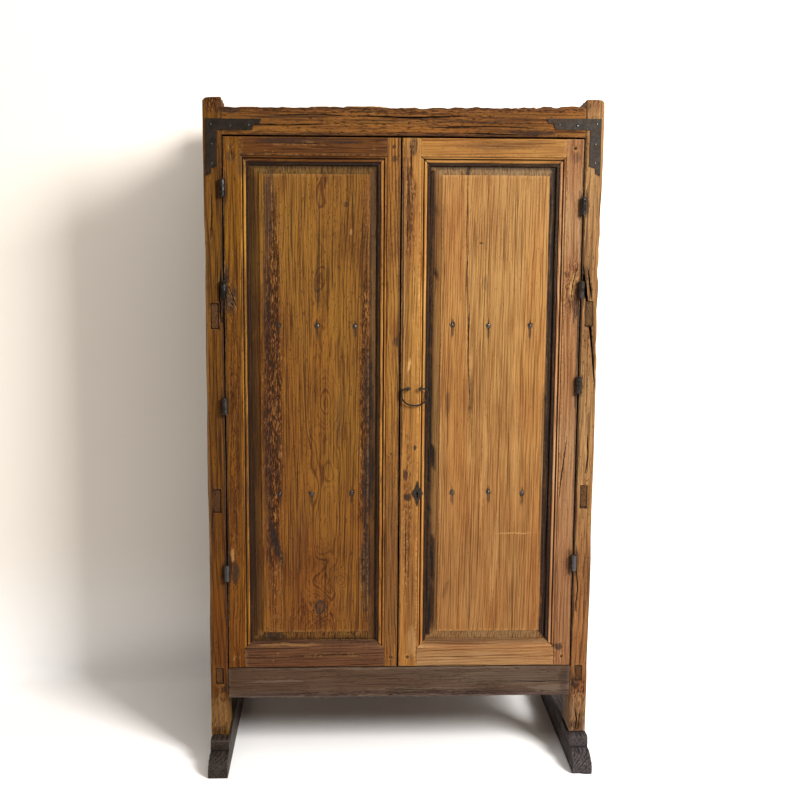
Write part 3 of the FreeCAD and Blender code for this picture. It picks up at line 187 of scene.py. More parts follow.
class Graph:
    """Short calls that lay out one material's nodes."""

    def __init__(self, name):
        self.material = bpy.data.materials.new(name)
        self.material.use_nodes = True
        self.tree = self.material.node_tree
        self.shader = self.tree.nodes["Principled BSDF"]

    def put(self, socket, value):
        """Link or set one input."""
        if isinstance(value, bpy.types.NodeSocket):
            self.tree.links.new(value, socket)
        elif isinstance(value, (tuple, list, Vector)) and socket.type == "RGBA" and len(value) == 3:
            socket.default_value = (*value, 1.0)
        elif value is not None:
            socket.default_value = value

    def node(self, kind, inputs=(), **settings):
        """A node with settings and the inputs named or counted."""
        made = self.tree.nodes.new(kind)
        for key, value in settings.items():
            setattr(made, key, value)
        for key, value in dict(inputs).items():
            self.put(made.inputs[key], value)
        return made

    def math(self, operation, *values, clamp=False):
        """One scalar operation."""
        return self.node("ShaderNodeMath", enumerate(values), operation=operation, use_clamp=clamp).outputs[0]

    def times(self, first, second):
        """Two values multiplied."""
        return self.math("MULTIPLY", first, second)

    def scaled(self, value, factor, plus, clamp=False):
        """A value times a factor, plus another value."""
        return self.math("MULTIPLY_ADD", value, factor, plus, clamp=clamp)

    def centred(self, value):
        """Noise moved to lie about zero."""
        return self.math("SUBTRACT", value, 0.5)

    def vector(self, operation, *values):
        """One vector operation."""
        made = self.node("ShaderNodeVectorMath", enumerate(values), operation=operation)
        return made.outputs["Value" if operation == "LENGTH" else "Vector"]

    def noise(self, place, scale=1.0, detail=2.0, rough=0.5):
        """Value noise at a place."""
        made = self.node("ShaderNodeTexNoise", {"Vector": place, "Scale": scale, "Detail": detail,
                                                "Roughness": rough})
        return made.outputs[0]

    def step(self, value, low, high, to_low=0.0, to_high=1.0):
        """A smooth step from one level to another."""
        made = self.node("ShaderNodeMapRange", {0: value, 1: low, 2: high, 3: to_low, 4: to_high},
                         interpolation_type="SMOOTHSTEP")
        return made.outputs[0]

    def mix(self, factor, first, second, blend="MIX"):
        """Two colours mixed."""
        inputs = {0: factor, 6: first, 7: second}
        return self.node("ShaderNodeMix", inputs, data_type="RGBA", blend_type=blend).outputs[2]

    def dyed(self, shown, tint):
        """A colour multiplied by a tint."""
        return self.mix(1.0, shown, tint, "MULTIPLY")

    def attribute(self, name):
        """A vector that the mesh carries."""
        return self.node("ShaderNodeAttribute", attribute_name=name).outputs["Vector"]

    def spot(self):
        """The place on the object."""
        return self.node("ShaderNodeTexCoord").outputs["Object"]

    def parts(self, vector):
        """The three parts of a vector."""
        return self.node("ShaderNodeSeparateXYZ", {0: vector}).outputs

    def warp(self, spot, grain, size):
        """A place pushed about, most of all along the grain."""
        place = self.vector("MULTIPLY", grain, (55.0, 55.0, 16.0))
        swirl = self.node("ShaderNodeTexNoise", {"Vector": place, "Scale": 1.0, "Detail": 3.0,
                                                 "Roughness": 0.65}).outputs["Color"]
        push = self.vector("MULTIPLY_ADD", swirl, (2 * size, 0.0, 5 * size), (-size, 0.0, -2.5 * size))
        return self.vector("ADD", spot, push)

    def lean(self, spot, amount):
        """What leans a pattern to the right as it rises."""
        return self.node("ShaderNodeCombineXYZ", {0: self.times(self.parts(spot)[2], -amount)}).outputs[0]

    def finish(self, colour_socket, roughness, height, distance, **plain):
        """Join the results to the shader; plain numbers go on the shader's own sockets."""
        self.put(self.shader.inputs["Base Color"], colour_socket)
        self.put(self.shader.inputs["Roughness"], roughness)
        bump = self.node("ShaderNodeBump", {"Strength": 1.0, "Distance": distance, "Height": height})
        self.put(self.shader.inputs["Normal"], bump.outputs[0])
        for key, value in plain.items():
            self.shader.inputs[key.replace("_", " ")].default_value = value
        return self.material


# Marks on the front in millimetres: X, Z, half width, half height, how strong, and any lean to the right.
# Grime, tar and shadow-dark splits, and painted shade in the gaps round the doors, under the top rail and on
# the left panel's left bevel.
STAINS_AND_SHADE = {
    "left_door": [
        (-345, 1490, 16, 120, 0.7), (-352, 1250, 11, 220, 0.5), (-333, 612, 11, 66, 0.95, -0.25),
        (-352, 800, 12, 320, 0.42), (-391, 640, 5, 300, 0.65), (-88, 1020, 14, 130, 0.8),
        (-88, 800, 17, 140, 0.9), (-95, 560, 14, 200, 0.85), (-80, 1450, 6, 110, 0.3),
        (-148, 1501, 9, 8, 0.7), (-226, 1310, 4, 56, 0.55), (-219, 1260, 5, 40, 0.5),
        (-345, 352, 44, 12, 0.8), (-30, 560, 24, 330, 0.45), (-216, 398, 4, 24, 0.6),
        (-217, 430, 7, 9, 0.5), (-456, 1288, 7, 66, 1.0), (-441, 1256, 12, 36, 0.75, 0.3),
        (-440, 526, 11, 36, 0.8), (-456, 545, 6, 60, 0.95), (-441, 1622, 12, 13, 0.6),
        (-290, 1662, 110, 9, 0.7), (-413, 1600, 12, 40, 0.5), (-17, 1150, 12, 14, 0.7),
        (-150, 1660, 60, 7, 0.5), (-26, 1617, 9, 9, 0.7), (-410, 700, 7, 240, 0.35),
        (-458.5, 970, 3, 900, 0.7), (-11, 970, 2.5, 900, 0.6), (-160, 960, 12, 90, 0.3, 0.1),
        (-270, 620, 24, 120, 0.25, 0.1), (-456, 988, 6, 40, 0.8), (-456, 1540, 6, 44, 0.8),
        (-400, 1614, 1.6, 10, 0.95, -1.3), (-60, 1609, 1.6, 11, 0.95, 1.2),
    ],
    "right_door": [
        (22, 1652, 12, 26, 0.75), (11, 1540, 4, 130, 0.7, -0.05), (8, 1250, 4, 260, 0.45),
        (14, 735, 12, 12, 0.9), (10, 795, 7, 22, 0.85), (34, 869, 6, 7, 0.9), (455, 1262, 9, 70, 0.9, 0.1),
        (440, 1262, 16, 12, 0.4), (456, 1502, 8, 40, 0.85), (456, 1020, 6, 60, 0.85),
        (457, 1150, 4, 130, 0.95), (-1, 1300, 2.5, 500, 0.9), (440, 1625, 12, 16, 0.45),
        (426, 320, 18, 10, 0.8), (452, 556, 11, 42, 0.6), (212, 1303, 7, 22, 0.4), (200, 1406, 5, 4, 0.8),
        (30, 420, 16, 190, 0.35), (250, 1652, 120, 9, 0.35), (60, 1010, 5, 330, 0.5),
        (120, 480, 8, 30, 0.4, 0.3), (164, 1516, 1.7, 80, 0.9, -0.02), (165, 1350, 1.7, 94, 0.9, 0.035),
        (171, 1167, 1.7, 95, 0.9, 0.03), (176, 1000, 1.9, 76, 0.9, 0.04), (119, 985, 5, 45, 0.5),
        (181, 1010, 3, 70, 0.6, 0.03), (458.5, 970, 3, 900, 0.7), (-3.5, 970, 2.5, 900, 0.7),
        (372, 800, 7, 330, 0.4), (86, 500, 6, 140, 0.5), (52, 1616, 1.6, 11, 0.95, -1.1),
        (403, 1615, 1.6, 11, 0.95, 1.05), (230, 470, 230, 240, 0.12), (28, 600, 36, 330, 0.13),
    ],
    "posts": [
        (484, 252, 10, 11, 0.9), (477, 216, 13, 15, 0.85), (-475, 208, 8, 9, 0.9), (468, 1505, 9, 40, 0.75),
        (468, 1290, 8, 80, 0.7, 0.1), (493, 930, 5, 60, 0.5), (482, 96, 26, 16, 0.5),
        (-486, 92, 24, 12, 0.5), (-466, 1270, 8, 66, 0.9), (-466, 530, 9, 50, 0.75),
        (-468, 980, 7, 44, 0.75), (-466, 1540, 7, 44, 0.7), (468, 556, 9, 44, 0.8), (468, 1037, 8, 36, 0.7),
        (330, 1686, 70, 8, 0.8), (-440, 1736, 34, 10, 0.7), (-120, 1742, 330, 5, 0.4),
        (230, 1749, 240, 5, 0.4), (0, 1678, 440, 5, 0.6), (-300, 1722, 130, 5, 0.45),
        (120, 1712, 220, 5, 0.45), (465, 950, 3.5, 900, 0.8), (-465, 950, 3.5, 900, 0.8),
        (-502, 1340, 6, 120, 0.4), (-500, 700, 7, 200, 0.4), (505, 480, 6, 160, 0.4),
    ],
    "grey": [
        (300, 222, 140, 3, 0.5), (-330, 190, 120, 5, 0.3), (445, 225, 14, 40, 0.4),
    ],
}
# Bare wood worn pale by rubbing, and a painted highlight beside the long crack in the right panel.
PALE = {
    "right_door": [
        (300, 635, 62, 1.6, 0.85, -0.07), (17, 1089, 5, 24, 0.6, 0.1), (216, 800, 7, 200, 0.35, 0.03),
        (300, 900, 6, 300, 0.25, -0.02), (250, 560, 9, 160, 0.35, 0.05), (31, 342, 14, 40, 0.5),
        (440, 1300, 12, 40, 0.35, 0.3), (60, 960, 4, 600, 0.25), (168.5, 1340, 1.3, 240, 0.5, 0.015),
    ],
    "left_door": [
        (-135, 1433, 4, 10, 0.6), (-78, 1300, 3, 350, 0.5), (-411, 1000, 2.5, 560, 0.5),
        (-300, 330, 90, 4, 0.5), (-73, 1250, 3, 380, 0.6), (-448, 578, 7, 20, 0.6),
        (-459, 1335, 4, 30, 0.6),
    ],
    "posts": [
        (482, 135, 32, 62, 0.4), (-486, 135, 30, 62, 0.4), (-507, 900, 4, 700, 0.3),
        (506, 700, 4, 500, 0.3),
    ],
    "grey": [
        (410, 203, 66, 12, 0.55), (0, 262, 430, 2.5, 0.5), (-215, 215, 45, 34, 0.1),
        (-330, 228, 90, 2.5, 0.5, 0.01), (60, 205, 160, 2, 0.4, -0.005), (0, 184, 440, 2.5, 0.5),
        (300, 235, 170, 26, 0.25),
    ],
}
# Weathered areas full of small dark pits.
PITTED = {
    "left_door": [
        (-338, 1000, 30, 700, 1.0), (-96, 960, 20, 660, 0.9), (-440, 900, 14, 500, 0.4),
        (-230, 420, 90, 60, 0.4),
    ],
    "right_door": [
        (15, 1500, 16, 190, 0.8), (15, 700, 16, 330, 0.6), (440, 1290, 30, 90, 0.8),
    ],
    "posts": [
        (-100, 1738, 520, 9, 0.7), (250, 1742, 300, 9, 0.7), (484, 1240, 24, 280, 0.3),
        (0, 1680, 460, 8, 0.5), (-486, 130, 30, 90, 0.7), (484, 150, 30, 110, 0.9),
        (-486, 1752, 26, 30, 0.9), (484, 1756, 26, 18, 0.5), (0, 1710, 470, 36, 0.35),
    ],
    "grey": [
        (0, 190, 430, 12, 0.6),
    ],
}
KNOTS = {
    "left_door": [
        (-216, 434, 15, 20, 0.95), (-171, 511, 8, 11, 0.35), (-444, 1258, 8, 14, 0.7),
        (-436, 540, 8, 14, 0.6),
    ],
    "right_door": [
        (452, 1290, 12, 22, 0.3), (452, 540, 12, 22, 0.1),
    ],
}
# The nails that hold the battens: X and Z, each with a stain round it and a run below.
NAILS = {
    "left": [(-322, 1191), (-222, 1190), (-124, 1189), (-322, 745), (-238, 744), (-132, 747)],
    "right": [(128, 1194), (223, 1191), (332, 1191), (134, 747), (231, 747), (321, 746)],
}
for side, places in NAILS.items():
    STAINS_AND_SHADE[side + "_door"] += [(x, z, 8, 11, 0.95) for x, z in places]
    STAINS_AND_SHADE[side + "_door"] += [(x, z - 8, 5, 30, 0.7) for x, z in places]
# The second vector a board's points carry holds edge wear, dirt with painted shade in recesses, and a painted
# highlight.
GRAIN, WEAR_SHADE_HIGHLIGHT, TONE = "grain", "age", "tone"  # what each point of a board's mesh carries
MARK_DEPTH = 0.03  # how far behind the front a mark reaches
SMALL_MARK = 13  # millimetres, below which a mark's outline wanders less
# Tints of the wood, as factors on its colour.
PATINA, STREAK, LOWER, FOOT = (0.74, 0.60, 0.52), (0.98, 0.88, 0.78), (0.92, 0.80, 0.74), (1.60, 2.30, 4.2)
# On the next line, the second tint is a painted highlight on bead tops and on the runners' inner sides.
WEATHERED, HIGHLIGHT_TINT = (0.66, 0.52, 0.50), (1.75, 1.75, 1.85)
# Colours of what lies on it; the stain colour also paints shade in the gaps round the doors, and the last
# colour also paints shade in recesses and cracks.
STAIN_AND_SHADE, KNOT, DIRT_AND_SHADE = (0.014, 0.008, 0.006), (0.024, 0.014, 0.009), (0.0065, 0.0032, 0.0020)
# Tints of the ironwork on the left and on the right: painted shade on the left and painted sheen on the
# right, where the light falls.
IRON_LEFT_SHADE, IRON_RIGHT_SHEEN = (0.75, 0.68, 0.56), (1.7, 1.7, 1.7)


def millimetres(*values):
    """The values in metres."""
    return tuple(value / 1000 for value in values)


def dimmed(tint, factor):
    """A colour times a factor."""
    return tuple(factor * value for value in tint)


class Pine(Graph):
    """The graph of old pine, which ages the colour shown layer by layer and paints shade and highlights into
    it.
    """

    def __init__(self, name, zone):
        super().__init__(name)
        self.zone, self.shown = zone, None
        self.grain = self.attribute(GRAIN)
        self.proud, self.packed, self.rubbed = self.parts(self.attribute(WEAR_SHADE_HIGHLIGHT))
        self.place = self.spot()
        self.rise = self.parts(self.place)[2]
        self.log = self.parts(self.grain)
        self.warps = [self.warp(self.place, self.grain, size) for size in (0.003, 0.012)]

    def fibres(self, scales, detail=2.0, rough=0.55):
        """Noise drawn out along the grain."""
        return self.noise(self.vector("MULTIPLY", self.grain, scales), 1.0, detail, rough)

    def lay(self, amount, over):
        """Cover what is shown with another colour."""
        self.shown = self.mix(amount, self.shown, over)

    def tint(self, amount, factors):
        """Tint what is shown."""
        self.lay(amount, self.dyed(self.shown, factors))

    def patches(self, marks):
        """The strongest of several ragged patches on the front at each point."""
        total = 0.0
        for x, z, half_width, half_height, strength, *lean in marks.get(self.zone, []):
            place = self.warps[0] if min(half_width, half_height) < SMALL_MARK else self.warps[1]
            x, z, half_width, half_height = millimetres(x, z, half_width, half_height)
            if lean:
                place = self.vector("ADD", place, self.lean(self.place, lean[0]))
                x -= lean[0] * z
            shrink = (1 / half_width, 1 / MARK_DEPTH, 1 / half_height)
            shift = (-x / half_width, -FRONT / MARK_DEPTH, -z / half_height)
            far = self.vector("LENGTH", self.vector("MULTIPLY_ADD", place, shrink, shift))
            far = self.math("ADD", far, self.fray)
            total = self.math("MAXIMUM", self.step(far, 1.05, 0.62, 0.0, strength), total)
        return total

    def knots(self):
        """A mask of the knots, and how much they push the growth rings aside."""
        mask, push = 0.0, 0.0
        for *measures, strength in KNOTS.get(self.zone, []):
            x, z, half_width, half_height = millimetres(*measures)
            shrink, shift = (1 / half_width, 0.0, 1 / half_height), (-x / half_width, 0.0, -z / half_height)
            far = self.vector("LENGTH", self.vector("MULTIPLY_ADD", self.warps[0], shrink, shift))
            ring = self.times(self.step(far, 1.05, 0.85), self.step(far, 0.35, 0.80, 0.4, 1.0))
            mask = self.math("MAXIMUM", self.times(ring, strength), mask)
            push = self.math("ADD", self.step(far, 4.2, 0.3, 0.0, 0.034), push)
        return mask, push

    def rings(self, knot_push, pitch, wave):
        """How far each point is into the late wood of its growth ring, from its place in the log."""
        across, through, along = self.log
        across = self.scaled(self.centred(self.fibres((5.0, 5.0, 1.4))), wave, across)
        across = self.scaled(self.centred(self.fibres((60.0, 60.0, 14.0), 1.0)), 0.005, across)
        radius = self.math("SQRT", self.math("ADD", self.math("POWER", across, 2.0),
                                             self.math("POWER", through, 2.0)))
        crown = self.times(self.centred(self.fibres((14.0, 14.0, 7.0), 1.0)),
                           self.step(self.math("ABSOLUTE", across), 0.060, 0.005, 0.0, 0.085))
        radius = self.math("ADD", self.scaled(along, 0.022, radius), crown)
        turns = self.math("DIVIDE", self.math("ADD", radius, knot_push), pitch)
        part = self.math("FRACT", turns)
        which = self.node("ShaderNodeTexWhiteNoise", {"W": self.math("FLOOR", turns)},
                          noise_dimensions="1D").outputs["Value"]
        late = self.times(self.step(part, 0.40, 0.88), self.step(part, 1.0, 0.92))
        return self.times(late, self.scaled(which, 0.85, 0.15))

    def add_noises(self):
        """Fibres, streaks, resin dashes, checks, patina, grit, and what frays the marks."""
        self.fine, self.middling, self.broad, self.dash, self.check = (
            self.fibres(scales, *rest) for scales, *rest in (
                ((330.0, 330.0, 9.0),), ((190.0, 190.0, 6.0),), ((22.0, 22.0, 1.1),),
                ((340.0, 340.0, 75.0), 2.0, 0.6), ((270.0, 270.0, 3.2), 1.0)))
        self.patina = self.noise(self.place, 3.4, 3.0, 0.55)
        self.grit = self.noise(self.place, 120.0, 4.0, 0.65)
        self.fray = self.scaled(self.dash, 1.3, self.scaled(self.middling, 0.9, -1.1))

    def show_wood(self, late, light, dark, contrast):
        """Early and late wood with fibres and streaks."""
        tone = self.scaled(late, 1.02 * contrast, 0.30 - 0.10 * contrast)
        for level, weight in ((self.fine, 3.3), (self.middling, 1.9), (self.broad, 0.8)):
            tone = self.scaled(self.centred(level), weight * contrast, tone)
        self.shown = self.mix(self.math("ADD", tone, 0.0, clamp=True), light, dark)

    def darken(self):
        """Patina, the board's own tone, broad streaks, and a change of colour towards the floor."""
        self.tint(self.step(self.patina, 0.38, 0.70, 0.0, 0.6), PATINA)
        self.tint(1.0, self.attribute(TONE))
        self.tint(self.step(self.fibres((9.0, 9.0, 1.5)), 0.45, 0.66), STREAK)
        self.tint(self.step(self.rise, 1.15, 0.35), LOWER)
        self.tint(self.step(self.rise, 0.21, 0.13), FOOT)

    def weather(self, pits, deep, pale):
        """Pits and checks, most of all in the weathered areas; returns how deep they are."""
        pitted = self.patches(PITTED)
        self.tint(pitted, WEATHERED)
        split = self.step(self.check, 0.64, 0.70, 0.0, 0.35 + 0.5 * pits)
        pit = self.math("SUBTRACT", self.dash, self.scaled(pitted, -0.14, 0.645))
        pit = self.times(self.math("DIVIDE", pit, 0.03, clamp=True), self.scaled(pitted, 0.9 - pits, pits))
        pit = self.math("MAXIMUM", pit, split)
        self.lay(pit, deep)
        self.lay(self.times(pitted, self.step(self.dash, 0.42, 0.34, 0.0, 0.5)), pale)
        return pit

    def soil(self, dirt, rub, knot_mask, deep, pale):
        """Smudges, bare marks, stains and painted shade in gaps, knots, edges worn pale, a painted highlight,
        and dirt with painted shade in recesses; returns the stains and painted shade.
        """
        self.lay(self.step(self.scaled(self.grit, 0.5, self.patina), 0.78, 1.1, 0.0, dirt), deep)
        self.lay(self.patches(PALE), pale)
        # Stains, and painted shade in the gaps round the doors and under the top rail.
        stain_and_shade = self.patches(STAINS_AND_SHADE)
        self.lay(self.times(stain_and_shade, self.step(self.fine, 0.30, 0.50, 0.6, 1.0)), STAIN_AND_SHADE)
        self.lay(knot_mask, KNOT)
        self.lay(self.times(self.proud, self.step(self.grit, 0.40, 0.62, 0.0, rub)), pale)
        # Painted highlight on bead tops and on the runners' inner sides.
        self.tint(self.rubbed, HIGHLIGHT_TINT)
        # Dirt in the hollows, with painted shade in recesses, tenon gaps and cracks.
        patchy = self.step(self.scaled(self.grit, 0.5, self.fine), 1.0, 0.66, 0.75, 1.0)
        self.lay(self.times(self.packed, patchy), DIRT_AND_SHADE)
        return stain_and_shade

    def surface(self, late, pit, stain_and_shade, gloss):
        """The wood's height and roughness."""
        height = self.scaled(late, 0.5, self.times(self.fine, 0.9))
        height = self.scaled(pit, -1.4, height)
        height = self.scaled(stain_and_shade, self.scaled(self.grit, 1.2, -1.2), height)
        height = self.scaled(self.grit, 0.5, height)
        dull = self.scaled(self.patina, 0.22, 1.0 - gloss - 0.14)
        dull = self.scaled(stain_and_shade, 0.22, dull)
        return height, self.scaled(self.fine, 0.12, dull, clamp=True)


def pine(name, zone, light, dark, wood, contrast=1.0, dirt=0.35, gloss=0.5, pits=0.5, rub=0.4, wave=0.05):
    """Old pine: growth rings, fibres, streaks, resin dashes, patina, dirt, knots and stains, with painted
    shade in recesses and gaps and painted highlights on beads.
    """
    graph = Pine(name, zone)
    knot_mask, knot_push = graph.knots()
    late = graph.rings(knot_push, wood.ring_pitch, wave)
    graph.add_noises()
    graph.show_wood(late, light, dark, contrast)
    deep, pale = dimmed(dark, 0.22), tuple(min(1.0, value * 1.5 + 0.02) for value in light)
    graph.darken()
    pit = graph.weather(pits, deep, pale)
    stain_and_shade = graph.soil(dirt, rub, knot_mask, deep, pale)
    height, dull = graph.surface(late, pit, stain_and_shade, gloss)
    return graph.finish(graph.shown, dull, height, wood.relief, Specular_IOR_Level=0.10)


def forged(name, tint, rust, roughness, shine):
    """Waxed forged iron with hammer marks and rust in its hollows, darker at the left and lighter at the
    right as painted shade and sheen.
    """
    graph = Graph(name)
    spot = graph.spot()
    hammer = graph.noise(spot, 120.0)
    scale = graph.noise(spot, 620.0, 4.0, 0.7)
    patch = graph.step(graph.scaled(scale, 0.5, graph.noise(spot, 45.0, 3.0)), 0.66, 0.95)
    shown = graph.mix(graph.step(hammer, 0.3, 0.7), dimmed(tint, 0.55), dimmed(tint, 1.35))
    shown = graph.mix(graph.times(patch, 0.75), shown, rust)
    # Painted shade on the ironwork at the left and painted sheen on the ironwork at the right.
    aside = graph.parts(spot)[0]
    side = graph.step(aside, -0.3, 0.3)
    left, right = graph.dyed(shown, IRON_LEFT_SHADE), graph.dyed(shown, IRON_RIGHT_SHEEN)
    shown = graph.mix(side, left, right)
    height = graph.scaled(scale, 0.35, hammer)
    dull = graph.scaled(patch, 0.3, graph.scaled(scale, 0.2, roughness - 0.1))
    return graph.finish(shown, dull, height, 0.0006, Specular_IOR_Level=shine)


MATERIALS = {}


def make_materials(scene):
    """Every finish, once."""
    wood, iron = scene.cupboard_wood, scene.cupboard_iron

    def wooden(finish, name, shade, strength=1.0, **looks):
        colours = [dimmed(getattr(wood, f"{shade}_{level}"), strength) for level in ("light", "dark")]
        MATERIALS[finish] = pine(name, finish, *colours, wood, **looks)

    wooden("right_door", "honey_pine", "door", contrast=0.8, dirt=0.25, gloss=0.52, pits=0.35)
    wooden("left_door", "red_brown_pine", "old", dirt=0.45, pits=0.6)
    wooden("posts", "weathered_pine", "post", contrast=0.85, dirt=0.4, gloss=0.42, pits=0.8)
    wooden("sides", "dull_pine", "side", contrast=0.9, dirt=0.4, gloss=0.34)
    wooden("inside", "bare_pine", "side", contrast=0.8, dirt=0.3, gloss=0.22, pits=0.4)
    wooden("grey", "grey_rail_wood", "grey", contrast=0.55, dirt=0.4, gloss=0.36, wave=0.02)
    wooden("runners", "black_runner_wood", "black", dirt=0.7, gloss=0.44, pits=0.8, rub=1.0)
    wooden("pegs", "peg_end_grain", "post", 0.8, dirt=0.8, gloss=0.4, pits=0.8)
    black, brown, rust = dimmed(iron.iron, 0.6), tuple(iron.plate), tuple(iron.rust)
    MATERIALS["iron"] = forged("forged_iron", black, rust, 0.16, 0.55)
    MATERIALS["plate"] = forged("brown_plate_iron", brown, rust, 0.46, 0.14)
    MATERIALS["handle"] = forged("rubbed_iron", black, rust, 0.20, 0.35)


# --------------------------------------------------------------- worn boards


class Board:
    """How one board is cut from its log, and how it has worn."""

    def __init__(self, finish, slot, grain="z", heart=(0.30, 0.12), step=1.0, wear=1.0, shape=None, kind="",
                 tone=(1.0, 1.0, 1.0), cracks=(), taper=1.0):
        self.finish, self.slot, self.grain, self.heart = finish, slot, grain, heart
        self.step, self.wear, self.shape, self.kind = step, wear, shape, kind
        self.tone, self.cracks, self.taper = tone, cracks, taper


GRAIN_AXES = {"x": (2, 1, 0), "y": (0, 2, 1), "z": (0, 1, 2)}  # across, through and along the grain
ALONG_STEP, ACROSS_STEP = 1.6, 0.7  # grid steps along and across the grain, as shares of the board's
EDGE_MARGINS, THIN = (0.002, 0.006), 0.02  # extra cuts near the edges, on boards that are not thin
SHARP = math.radians(32)
FLOOR_LIP = 0.015  # how far the floor's front edge reaches down behind the bottom rail
FLOOR_EDGE = 0.007  # the depth of that edge
# Middle and half of the depths behind the doors' front at which a bevel and a moulding lie.
BEVEL_DEPTHS, MOULDING_DEPTHS, MOULDING_WIDTH = (0.0104, 0.0036), (0.0035, 0.003), 0.03
# Tints of painted shade on a panel's upper and lower bevels, and a tint that brightens the left hinge stile's
# moulding, partly to its own paler tone and partly as a painted highlight.
UPPER_BEVEL_SHADE, LOWER_BEVEL_SHADE, MOULDING_TONE_AND_HIGHLIGHT = (0.62, 0.74, 1.02), (0.78, 0.94, 1.25), (1.5, 1.75, 5.0)


def arrays_of(mesh):
    """A triangulated mesh's points and faces as arrays."""
    points = np.zeros(len(mesh.vertices) * 3)
    mesh.vertices.foreach_get("co", points)
    faces = np.zeros(len(mesh.polygons) * 3, int)
    mesh.polygons.foreach_get("vertices", faces)
    return points.reshape(-1, 3), faces.reshape(-1, 3)


@contextmanager
def reworked(mesh):
    """The mesh opened for changes, and written back."""
    work = bmesh.new()
    work.from_mesh(mesh)
    yield work
    work.to_mesh(mesh)
    work.free()


def merged(mesh):
    """Join a node's loose triangles and its coplanar faces."""
    with reworked(mesh) as work:
        bmesh.ops.remove_doubles(work, verts=work.verts, dist=MERGE)
        bmesh.ops.dissolve_limit(work, angle_limit=math.radians(0.5), verts=work.verts, edges=work.edges)


def divided(mesh, planes):
    """Split a mesh's faces at planes, given as an axis and a place each, and triangulate it."""
    with reworked(mesh) as work:
        for axis, place in planes:
            origin, normal = Vector(), Vector()
            origin[axis], normal[axis] = place, 1
            everything = work.verts[:] + work.edges[:] + work.faces[:]
            bmesh.ops.bisect_plane(work, geom=everything, dist=MERGE, plane_co=origin, plane_no=normal)
        bmesh.ops.triangulate(work, faces=work.faces)


def linked(name, data):
    """A new object in the scene."""
    made = bpy.data.objects.new(name, data)
    bpy.context.scene.collection.objects.link(made)
    return made


def settle(piece, modifier):
    """Turn what a modifier makes of a piece into its plain mesh."""
    bpy.context.view_layer.update()
    mesh = bpy.data.meshes.new_from_object(piece.evaluated_get(bpy.context.evaluated_depsgraph_get()))
    piece.modifiers.remove(modifier)
    piece.data = mesh


def point_forms(points, faces):
    """Unit normals of the points, how sharp the edge at each is, and whether it stands out or is sunk."""
    corners = points[faces]
    normals = np.cross(corners[:, 1] - corners[:, 0], corners[:, 2] - corners[:, 0])
    size = np.linalg.norm(normals, axis=1, keepdims=True)
    flat = normals / np.maximum(size, 1e-20)
    total, around = np.zeros_like(points), np.zeros_like(points)
    weight = np.zeros(len(points))
    for corner in range(3):
        before = corners[:, (corner + 1) % 3] - corners[:, corner]
        after = corners[:, (corner + 2) % 3] - corners[:, corner]
        reach = np.linalg.norm(before, axis=1) * np.linalg.norm(after, axis=1)
        angle = np.arccos(np.clip((before * after).sum(1) / np.maximum(reach, 1e-20), -1, 1))
        np.add.at(total, faces[:, corner], flat * angle[:, None])
        np.add.at(weight, faces[:, corner], angle)
        np.add.at(around, faces[:, corner], before + after)
    length_of = np.linalg.norm(total, axis=1)
    unit = total / np.maximum(length_of, 1e-20)[:, None]
    sharp = np.clip((1 - length_of / np.maximum(weight, 1e-20) - 0.03) / 0.10, 0, 1)
    sunk = (around * unit).sum(1) > 0
    return unit, sharp * ~sunk, sharp * sunk


def lumps(places, seed=0):
    """Smooth noise from -1 to 1 at many places at once, a cell to each unit."""
    cell = np.floor(places).astype(np.int64)
    part = places - cell
    fade = part * part * (3 - 2 * part)
    total = np.zeros(len(places))
    for corner in range(8):
        step = np.array((corner & 1, corner >> 1 & 1, corner >> 2 & 1))
        weight = np.where(step, fade, 1 - fade).prod(1)
        key = (cell + step) @ np.array((73856093, 19349663, 83492791)) + (SEED + seed) * 2654435761
        key = (key ^ key >> 13) * 1274126177 & 0x7FFFFFFF
        key = (key ^ key >> 16) * 668265263 & 0x7FFFFFFF
        total += weight * (key % 65536 / 32767.5 - 1)
    return total


def cut_places(low, high, step, margins):
    """Planes from low to high at the step, and near both ends at the margins."""
    count = max(1, round((high - low) / step))
    places = [low + (high - low) * index / count for index in range(1, count)]
    places += [low + margin for margin in margins] + [high - margin for margin in margins]
    return sorted(place for place in places if low < place < high)


def split_cracks(piece, cracks, front):
    """Cut wedge-shaped cracks into a piece's front face."""
    for number, (path, width, depth) in enumerate(cracks):
        wedge = crack_wedge(path, width, depth, front, number)
        tool = piece.modifiers.new("crack", "BOOLEAN")
        tool.operation, tool.solver, tool.object = "DIFFERENCE", "EXACT", wedge
        settle(piece, tool)
        bpy.data.objects.remove(wedge)


CRACK_STEPS = 7  # cuts between two points of a crack's path
OVERCUT = 0.0015  # how far a crack's wedge stands out of the wood


